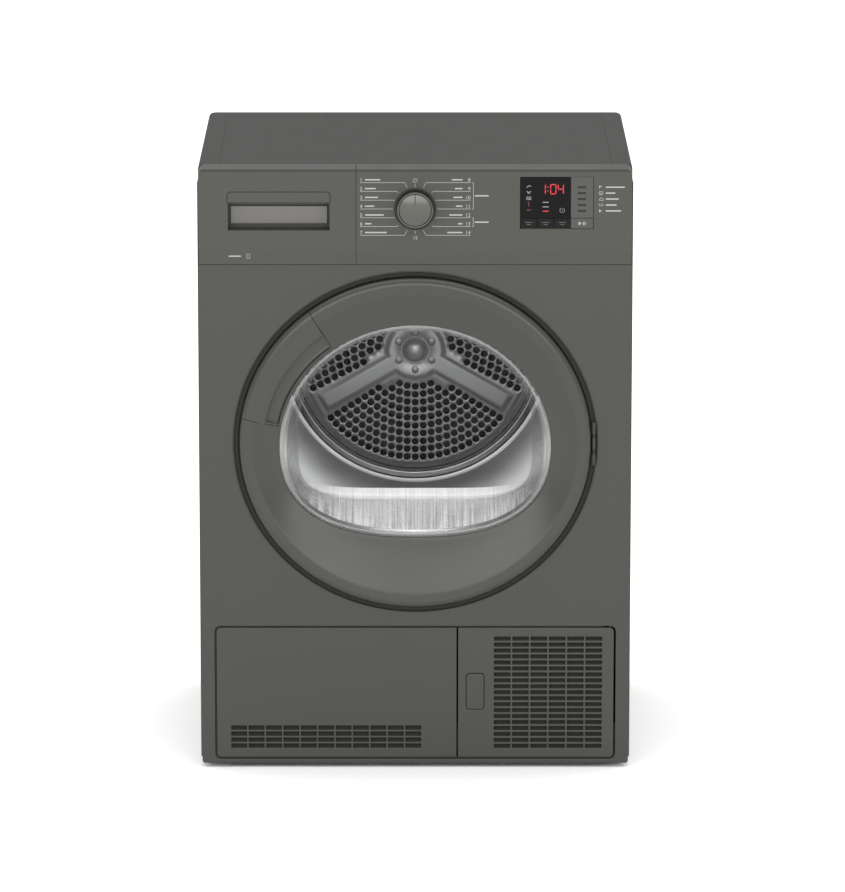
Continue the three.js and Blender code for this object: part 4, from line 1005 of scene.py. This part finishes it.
def frame_section():
    """Across the door's frame, from its outer edge over the crease to the glass and back."""
    front = [(share, DOOR_Y + y) for share, y in FRONT_EDGE]
    slope = [(share, slope_y(share)) for share in
             (0.03, 0.1, 0.2, 0.3, 0.4, 0.5, 0.6, 0.7, 0.8, 0.9, 0.965)]
    lip = [(0.99, GLASS_Y + 0.2), (1, GLASS_Y + 0.8), (1, GLASS_Y + 3)]
    back = [(0.6, slope_y(0.6) + 3), (0.1, DOOR_Y + 4), (-0.84, DOOR_Y + 6), (-0.84, DOOR_BACK),
            (-1, DOOR_BACK)]
    return front + slope + lip + back


def door_frame():
    """The frame round the door with a gap for the handle, which a rim and a sill bridge."""
    end = HANDLE_FROM - HANDLE_SEAM + 2 * math.pi
    main = swept(frame_section(), HANDLE_TO + HANDLE_SEAM, end, 150)
    rim = [(-1, DOOR_Y + 9.2), (-0.84, DOOR_Y + 9.2), (-0.84, DOOR_BACK), (-1, DOOR_BACK)]
    sill = [(0.965, slope_y(0.965)), (0.99, GLASS_Y + 0.2), (1, GLASS_Y + 0.8), (1, GLASS_Y + 3),
            (0.965, GLASS_Y + 3)]
    over = 0.01  # the rim and the sill behind the handle reach into the frame
    parts = [swept(section, HANDLE_FROM - over, HANDLE_TO + over, 24) for section in (rim, sill)]
    skin("door_frame_moulding", merged(main, *parts), "door", "door_plastic",
         stands_for=["door_outer_frame"], sharp=40)


GRIP_LIP = [
    (0.1, 0.8), (0.3, 1.1), (0.36, 1.4), (0.395, 2), (0.41, 3), (0.395, 4), (0.36, 4.5),
    (0.16, 4.8), (0.11, 5.4), (0.1, 7),
]


def door_handle():
    """The handle's piece of the frame, with a lip over a cup for the fingers."""
    floor = DOOR_Y + 14
    front = [(share, DOOR_Y + y) for share, y in FRONT_EDGE + GRIP_LIP]
    cup = [(0.1, floor - 2.5), (0.13, floor - 0.7), (0.2, floor), (0.76, floor),
           (0.84, floor - 0.8), (0.88, floor - 2.4), (0.885, slope_y(0.9) + 1.2),
           (0.9, slope_y(0.9) + 0.3), (0.925, slope_y(0.925)), (0.96, slope_y(0.96))]
    back = [(0.96, floor + 2), (0, floor + 2), (0, DOOR_Y + 6), (-0.84, DOOR_Y + 6),
            (-0.84, DOOR_Y + 8.8), (-1, DOOR_Y + 8.8)]
    start, end = HANDLE_FROM + HANDLE_SEAM, HANDLE_TO - HANDLE_SEAM
    cheek_section = [(share, slope_y(share) + 0.25) for share in (0.42, 0.5, 0.6, 0.7, 0.8, 0.9)]
    cheek_section += [(0.9, floor + 1), (0.08, floor + 1), (0.08, DOOR_Y + 5), (0.42, DOOR_Y + 5)]
    cheek = 0.014  # thickness of the cup's end walls, in radians
    parts = [swept(front + cup + back, start, end, 40),
             swept(cheek_section, start, start + cheek, 3),
             swept(cheek_section, end - cheek, end, 3)]
    skin("door_handle_grip", merged(*parts), "door", "door_plastic",
         stands_for=["door_handle"], sharp=40)


BOWL_CORNER = 17  # radius between the bowl's wall and its end
BOWL_DEPTH = 95
BOWL_FRONT = {"half": 179, "top": 619, "bottom": 334}
BOWL_TAPER = {"half": 9, "top": 12, "bottom": 25}  # how much the outline draws in over its depth
RIM_RADIUS = 9  # of the rounded edge between the flange and the bowl's wall


def bowl_shape(depth, inset=0.0):
    """The glass bowl's outline at a depth behind its flange, drawn in by inset."""
    share = depth / BOWL_DEPTH
    half = BOWL_FRONT["half"] - BOWL_TAPER["half"] * share - inset
    top = BOWL_FRONT["top"] - BOWL_TAPER["top"] * share - inset
    bottom = BOWL_FRONT["bottom"] + BOWL_TAPER["bottom"] * share + inset
    z = bottom + (top - bottom) * 0.42
    flat = 2.5 + 2.3 * share ** 1.5
    return {"half": half, "z": z, "up": top - z, "down": z - bottom, "flat": flat}


def bowl_rings():
    """Rings of the bowl's wall and rounded end."""
    rings = []
    for i in range(9):
        depth = RIM_RADIUS + (BOWL_DEPTH - RIM_RADIUS) * i / 8
        rings.append((depth, bowl_shape(depth)))
    for turn in quarter(8, 1):
        depth = BOWL_DEPTH + BOWL_CORNER * math.sin(turn)
        rings.append((depth, bowl_shape(BOWL_DEPTH, BOWL_CORNER * (1 - math.cos(turn)))))
    for inset in (45, 75, 98):
        rings.append((BOWL_DEPTH + BOWL_CORNER + 0.5, bowl_shape(BOWL_DEPTH, inset)))
    return [opening_ring(FLANGE_Y + depth, 0, shape) for depth, shape in rings]


def rim_rings(grow, extra):
    """The rounded front edge, which turns from the flange into the bowl's wall."""
    rings = []
    for turn in quarter(6):
        share = 1 - math.sin(turn)
        depth = RIM_RADIUS * (1 - math.cos(turn))
        rings.append(opening_ring(FLANGE_Y + depth + extra, grow + 7.5 * share,
                                  bowl_shape(depth)))
    return rings


def door_glass():
    """The bowl, and the thicker rim and flange that hold it in the door."""
    flange = [opening_ring(FLANGE_Y, FLANGE), opening_ring(FLANGE_Y + 3, FLANGE),
              opening_ring(FLANGE_Y + 3, 3.5)]
    skin("glass_rim", woven([*reversed(rim_rings(0, 0)), *flange, *rim_rings(3.4, 1.2)]), "door",
         "door_glass", GLASS_RIM)
    wall = bowl_rings()
    room = wall + [[(0, wall[-1][0][1], bowl_shape(BOWL_DEPTH)["z"])] * len(wall[0])]
    skin("glass_bowl", woven(room), "door", "door_glass", stands_for=["door_glass"])


def glass_ribs():
    """The ribs pressed into the floor of the bowl, which run from its front to its back."""
    start, end = math.radians(203), math.radians(337)
    count = 250
    rings = []
    for i in range(11):
        depth = RIM_RADIUS + (BOWL_DEPTH + 2 - RIM_RADIUS) * i / 10
        shape = bowl_shape(min(depth, BOWL_DEPTH))
        ring = []
        for k in range(count + 1):
            angle = start + (end - start) * k / count
            x, z = on_opening(angle, -0.5 - 0.8 * (k % 2), shape)
            ring.append((x, FLANGE_Y + depth, z))
        rings.append(ring)
    # The ribs carry painted highlight streaks.
    skin("glass_ribs", woven(rings, closed=False), "door", "door_glass", RIB_HIGHLIGHTS, sharp=20)


def glass_ledge():
    """The rounded corner where the bowl's floor meets its end, painted with a bright highlight."""
    start, end = math.radians(214), math.radians(326)
    count = 120
    rings = []
    for i in range(7):
        ring = []
        for k in range(count + 1):
            taper = math.sin(math.pi * k / count) ** 0.7
            turn = math.pi / 2 * (0.46 + 0.8 * (i / 6 - 0.5) * taper)
            shape = bowl_shape(BOWL_DEPTH, BOWL_CORNER * (1 - math.cos(turn)))
            x, z = on_opening(start + (end - start) * k / count, -0.8, shape)
            ring.append((x, FLANGE_Y + BOWL_DEPTH + BOWL_CORNER * math.sin(turn) - 0.5, z))
        rings.append(ring)
    skin("glass_ledge", woven(rings, closed=False), "door", "door_glass", LEDGE_HIGHLIGHT)


# ------------------------------------------------------------ drum
def drum_ring(name, profile, finish=None, stands_for=(), sharp=32):
    """A stainless piece turned about the drum's axis."""
    skin(name, turned(profile, 0, DRUM_Z, 160), "drum", "stainless", finish, stands_for, sharp)


def drum_shell():
    """The drum's sheet, rolled in round its mouth."""
    inner = DRUM_R - 1
    front, rear = shell_low.y, shell_high.y
    profile = [(DRUM_R - 12, front + 1), (DRUM_R - 12.4, front + 0.5), (DRUM_R - 12, front),
               (DRUM_R - 2, front), (DRUM_R, front + 2), (DRUM_R, rear), (inner, rear)]
    profile += [(inner, front + 3), (inner - 1, front + 1), (DRUM_R - 12, front + 1)]
    drum_ring("drum_shell_sheet", profile, stands_for=["drum_shell"])


DISC_R = 168  # the flat perforated part
HOLE_R = 5.15
HOLE_PITCH = 11.75
RING_STEP = 11.66
HUB_R = 41
BORE_R = 10.5  # of the hole for the hub's cap
ARM_HALF = 13
ARM_REACH = 155
ARM_ANGLES = [math.radians(a) for a in (90, 210, 330)]
PRESS = 5  # how far the spider is pressed forward
PRESS_SLOPE = 7  # width of the slope at its edge


def spider_distance(x, z):
    """How far a point of the disc lies outside the pressed spider, negative inside it."""
    reach = math.hypot(x, z)
    nearest = reach - HUB_R
    for angle in ARM_ANGLES:
        along = x * math.cos(angle) + z * math.sin(angle)
        across = abs(-x * math.sin(angle) + z * math.cos(angle))
        if along > 0:
            nearest = min(nearest, max(across - ARM_HALF, along - ARM_REACH))
    return nearest


def disc_y(x, z):
    """The disc's height field: the spider stands forward with sloping sides."""
    share = min(1.0, max(0.0, 0.5 - spider_distance(x, z) / PRESS_SLOPE))
    smooth = share * share * (3 - 2 * share)
    return DISC_Y - PRESS * smooth


def hole_places():
    """Holes on rings about the hub, spaced evenly from the middle of each sector outwards."""
    places = []
    for k in range(10):
        radius = 54.4 + RING_STEP * k
        for middle in (math.radians(a) for a in (30, 150, 270)):
            for n in range(-16, 17):
                turn = n * HOLE_PITCH / radius
                if abs(turn) > math.radians(60):
                    continue
                x, z = radius * math.cos(middle + turn), radius * math.sin(middle + turn)
                if spider_distance(x, z) > 8.8:
                    places.append((x, z))
    return places


def drum_disc():
    """The perforated disc with its pressed spider: a fill between its holes, then shaped."""
    points, edges = [], []

    def loop(outline):
        start = len(points)
        points.extend(Vector(p) for p in outline)
        count = len(outline)
        edges.extend((start + i, start + (i + 1) % count) for i in range(count))

    loop(circle(0, 0, DISC_R, 144))
    loop(circle(0, 0, BORE_R, 32))
    holes = hole_places()
    for x, z in holes:
        loop(circle(x, z, HOLE_R, 12))
    grid = 2.6  # of the extra points that the pressed slopes need
    reach = int(DISC_R / grid)
    for i in range(-reach, reach + 1):
        for k in range(-reach, reach + 1):
            x, z = i * grid, k * grid
            in_sheet = BORE_R + 2 < math.hypot(x, z) < DISC_R - 2
            if in_sheet and abs(spider_distance(x, z)) < PRESS_SLOPE - 1:
                points.append(Vector((x, z)))
    centres = kdtree.KDTree(len(holes))
    for i, (x, z) in enumerate(holes):
        centres.insert((x, z, 0), i)
    centres.balance()
    filled = geometry.delaunay_2d_cdt(points, edges, [], 0, 1e-4)
    verts, faces = filled[0], filled[2]
    kept = []
    for face in faces:
        x = sum(verts[i].x for i in face) / len(face)
        z = sum(verts[i].y for i in face) / len(face)
        in_sheet = BORE_R <= math.hypot(x, z) <= DISC_R
        if in_sheet and centres.find((x, z, 0))[2] > HOLE_R * 0.95:
            kept.append(tuple(face))
    shaped = [(v.x, disc_y(v.x, v.y), DRUM_Z + v.y) for v in verts]
    mesh = mesh_of("drum_disc", shaped, kept, outward=False)
    made = shown("drum_disc", mesh, "drum", "stainless", DISC_STEEL, ["drum_back"], sharp=60)
    thickness = made.modifiers.new("sheet", "SOLIDIFY")
    thickness.thickness = 1 * MM
    thickness.offset = 0
    # The rims of the holes take the painted shade grey, so the holes read dark.
    mesh.materials.append(HOLE_SHADE)
    thickness.material_offset_rim = 1


# The beads and the trough round the disc: distance past its edge, and behind its face.
BEADS = (
    (-0.3, 0), (4.6, 0), (5.6, 0.6), (6.2, 2.4), (11.4, 2.4), (12, -0.6), (13, -2.9), (14.4, -3.8),
    (16, -3.6), (18.5, -2.2), (21, -1.8), (21.6, -0.6), (23.6, -0.6), (24.4, -1.2), (29, -1.8),
)
COVE_DEPTH = 40  # how far the cove comes forward to meet the shell


def drum_dish():
    """From the disc out to the shell: beads and a trough, then a cove into the shell."""
    face = [(DISC_R + out, DISC_Y + behind) for out, behind in BEADS]
    start, top = face[-1]
    reach = DRUM_R - 1.2 - start
    cove = face[-1:]
    for turn in quarter(16, 1):
        cove.append((start + reach * math.sin(turn), top - COVE_DEPTH * (1 - math.cos(turn))))
    for name, line_of, finish in (("disc_bead", face, None), ("dish", cove, DISH_STEEL)):
        rear = [(r, y + 1) for r, y in reversed(line_of)]
        drum_ring(f"drum_{name}", line_of + rear + line_of[:1], finish, sharp=60)
    # Two thin dark rings on the beads beside the disc are painted shade.
    for name, inner, outer, y in (("inner", 7.4, 10.6, DISC_Y + 2.3),
                                  ("outer", 21.7, 23.5, DISC_Y - 0.7)):
        shade_ring = [(DISC_R + inner, y), (DISC_R + inner, y - 0.5), (DISC_R + outer, y - 0.5),
                (DISC_R + outer, y)]
        drum_ring(f"drum_groove_shade_{name}", shade_ring, HOLE_SHADE)


def drum_hub():
    """The domed cap in the middle of the disc and the six screws round it."""
    nose = DISC_Y - PRESS - 0.4
    dome_r, dome_height, shaft_r, shaft_end = 15.2, 9, 10, 262
    profile = [(0, nose - dome_height)]
    for turn in quarter(9, 1):
        profile.append((dome_r * math.sin(turn), nose - dome_height + 8.5 * (1 - math.cos(turn))))
    profile += [(15.6, nose + 1.2), (17.8, nose + 1.6), (19.2, nose + 0.4), (20, nose - 0.4),
                (20.8, nose - 0.4), (21.2, nose + 0.6), (shaft_r, nose + 2.4),
                (shaft_r, shaft_end), (0, shaft_end)]
    skin("drum_hub_cap", turned(profile, 0, DRUM_Z, 72), "drum", "stainless", DISC_STEEL,
         ["drum_hub"])
    for i in range(6):
        angle = math.radians(90 + 60 * i)
        x, z = 28 * math.cos(angle), DRUM_Z + 28 * math.sin(angle)
        screw(f"hub_screw_{i + 1}", 5.4, x, nose + 0.4, z, "front", "drum", "stainless")


def screw(name, radius, x, y, z, facing, body="cabinet", slot="zinc_steel"):
    """A pan head with a cross recess; y is the plane it sits on."""
    out = -1 if facing == "front" else 1
    profile = [(radius, y), (radius, y + out * 0.8), (radius * 0.86, y + out * 1.6),
               (radius * 0.5, y + out * 2.1), (0.01, y + out * 2.2)]
    cross, half = radius * 0.62, 0.35
    depth = sorted((y + out * 1.5, y + out * 2.32))
    arms = [bar(x - across, x + across, *depth, z - up, z + up)
            for across, up in ((cross, half), (half, cross))]
    skin(name, merged(turned(profile, x, z, 24), *arms), body, slot, FINISH["zinc_steel"])


def drum_lifter(index):
    """A hollow moulded paddle with a rounded ridge, bowed to sit on the shell."""
    low, high = shell_low.y + 23, 195
    base, tip, half = DRUM_R - 3, DRUM_R - 50, 30
    angle = ARM_ANGLES[index]
    rings = []
    for i in range(13):
        share = i / 12
        y = low + (high - low) * share
        ease = min(1.0, 6 * share, 6 * (1 - share)) ** 0.5 if 0 < share < 1 else 0.0
        ring = []
        for k in range(17):
            across = half * (k / 8 - 1)
            bow = math.sqrt(base ** 2 - across ** 2)
            bell = math.cos(math.pi / 2 * min(1, abs(across) / half)) ** 1.5
            radial = bow - (bow - tip) * bell * (0.25 + 0.75 * ease)
            ring.append((radial * math.cos(angle) - across * math.sin(angle), y,
                         DRUM_Z + radial * math.sin(angle) + across * math.cos(angle)))
        rings.append(ring)
    points, faces = woven(rings, closed=False)
    faces += [tuple(range(17)), tuple(range(len(points) - 17, len(points)))]
    skin(f"drum_paddle_{index + 1}", (points, faces), "drum", "pale_plastic",
         stands_for=[f"drum_lifter_{index + 1}"])


def duct_lining():
    """A dark disc inside the duct cover, painted shade seen through the drum's holes."""
    rear = duct_high.y - 1.2
    profile = [(0, rear - 3), (DISC_R - 1, rear - 3), (DISC_R, rear - 2.2), (DISC_R, rear),
               (0, rear)]
    skin("duct_lining", turned(profile, 0, DRUM_Z, 96), "cabinet", "rubber", HOLE_SHADE)


# ------------------------------------------------------------ rear
def duct_flange():
    """The flange by which the duct cover is screwed to the rear panel."""
    front = duct_low.y
    rear = front + 1
    reach, edge = duct_high.x + 11, 0.4
    profile = [(duct_high.x - 1, front), (reach, front), (reach, rear - edge), (reach - edge, rear),
               (duct_high.x - 1, rear)]
    skin("duct_flange", turned(profile + profile[:1], 0, DRUM_Z, 120), "cabinet", "zinc_steel")
    for i in range(10):
        angle = math.radians(36 * i + 6)
        x, z = (reach - 5.5) * math.cos(angle), DRUM_Z + (reach - 5.5) * math.sin(angle)
        screw(f"duct_screw_{i + 1}", 3.6, x, rear, z, "rear")


def rear_screws():
    """Screws round the edge of the rear panel."""
    plane = rear_low.y + 5.5  # the sheet's rear face; the drum's bearing stands out past it
    inset = 10
    left, right = rear_low.x + inset, rear_high.x - inset
    low, high = rear_low.z + inset, rear_high.z - inset
    places = [(x, low + (high - low) * i / 5) for x in (left, right) for i in range(6)]
    places += [(left + (right - left) * i / 4, z) for z in (low, high) for i in range(1, 4)]
    for i, (x, z) in enumerate(places):
        screw(f"rear_screw_{i + 1}", 4, x, plane, z, "rear")


# ------------------------------------------------------------ camera, floor and light
def camera():
    view = bpy.data.cameras.new("camera")
    view.sensor_fit = "VERTICAL"
    view.sensor_height = 36
    view.lens = 238.9
    view.shift_x = 0.0082
    view.clip_end = 100
    holder = bpy.data.objects.new("camera", view)
    pitch = math.radians(12.1)
    holder.location = (0, -8.2523, 2.1735)
    holder.rotation_euler = (math.pi / 2 - pitch, 0, 0)
    scene.collection.objects.link(holder)
    scene.camera = holder


def floor():
    """A pale studio floor that curves up into a backdrop far behind."""
    half, near, far, rise, radius = 30, -30, 30, 14, 6
    profile = [(near, 0), (far - radius, 0)]
    for turn in quarter(16, 1):
        profile.append((far - radius + radius * math.sin(turn), radius * (1 - math.cos(turn))))
    profile.append((far, rise))
    points = [(x, y, z) for x in (-half, half) for y, z in profile]
    count = len(profile)
    faces = [(i, i + count, i + count + 1, i + 1) for i in range(count - 1)]
    mesh = bpy.data.meshes.new("studio_floor")
    mesh.from_pydata(points, [], faces)
    mesh.shade_smooth()
    mesh.materials.append(moulded("studio_floor", (0.99, 0.99, 0.99, 1), 0.95, mottle=0.0,
                                  grain=40, height=0.0, sheen=0.0))
    made = bpy.data.objects.new("studio_floor", mesh)
    scene.collection.objects.link(made)


def soft_light(name, place, aim, size, power):
    lamp = bpy.data.lights.new(name, "AREA")
    lamp.shape = "RECTANGLE"
    lamp.size, lamp.size_y = size
    lamp.energy = power
    holder = bpy.data.objects.new(name, lamp)
    holder.location = place
    holder.rotation_euler = (Vector(aim) - Vector(place)).to_track_quat("-Z", "Y").to_euler()
    scene.collection.objects.link(holder)


def lights():
    world = bpy.data.worlds.new("studio")
    world.use_nodes = True
    world.node_tree.nodes["Background"].inputs["Color"].default_value = (1, 1, 1, 1)
    world.node_tree.nodes["Background"].inputs["Strength"].default_value = 1.0
    scene.world = world
    sky = bpy.data.lights.new("overhead", "SUN")
    sky.energy = 1.5
    sky.angle = math.radians(80)
    holder = bpy.data.objects.new("overhead", sky)
    scene.collection.objects.link(holder)
    soft_light("front_softbox", (0, -9.5, 2.5), (0, 0, 0.6), (10, 3), 230)
    soft_light("drum_lamp", (0, -0.17, 0.66), (0, 0.2, 0.2), (0.3, 0.04), 0.6)
    scene.view_settings.view_transform = "Standard"


# ------------------------------------------------------------ assembly
SOFT_EDGES = {"side_panel_left": 0.7, "side_panel_right": 0.7, "control_fascia": 0.8,
              "tank_drawer_front": 0.8}
OTHER_FINISH = {
    "start_key": FINISH["indicator_grey"], "door_hinge_leaf": FINISH["dark_plastic"],
    "door_hinge_bracket": FINISH["dark_plastic"], "heater": FINISH["dark_plastic"],
    "rear_panel": REAR_STEEL_SHADED_FRONT,
}


def frame_nodes():
    """The nodes of the frame that stay: each gets its slot's finish and soft edges."""
    slots = {row["node"]: row["material_slot"] for row in frame["record"]["subparts"]}
    for node, piece in frame["nodes"].items():
        if not piece.hide_render:
            finish = OTHER_FINISH.get(node, FINISH[slots[node]])
            soften(node, SOFT_EDGES.get(node, 0.4), finish)


camera()
floor()
lights()
front_panel()
groove_ring()
kick_groove()
worktop()
kick_cover()
kick_flap()
flap_latch()
knob()
knob_well()
display()
indicator_bars()
key_marks()
start_key_frame()
dial_printing()
drawer_marks()
drawer_recess()
door_frame()
door_handle()
door_glass()
glass_ribs()
glass_ledge()
drum_shell()
drum_disc()
drum_dish()
drum_hub()
for number in range(3):
    drum_lifter(number)
duct_lining()
duct_flange()
rear_screws()
frame_nodes()
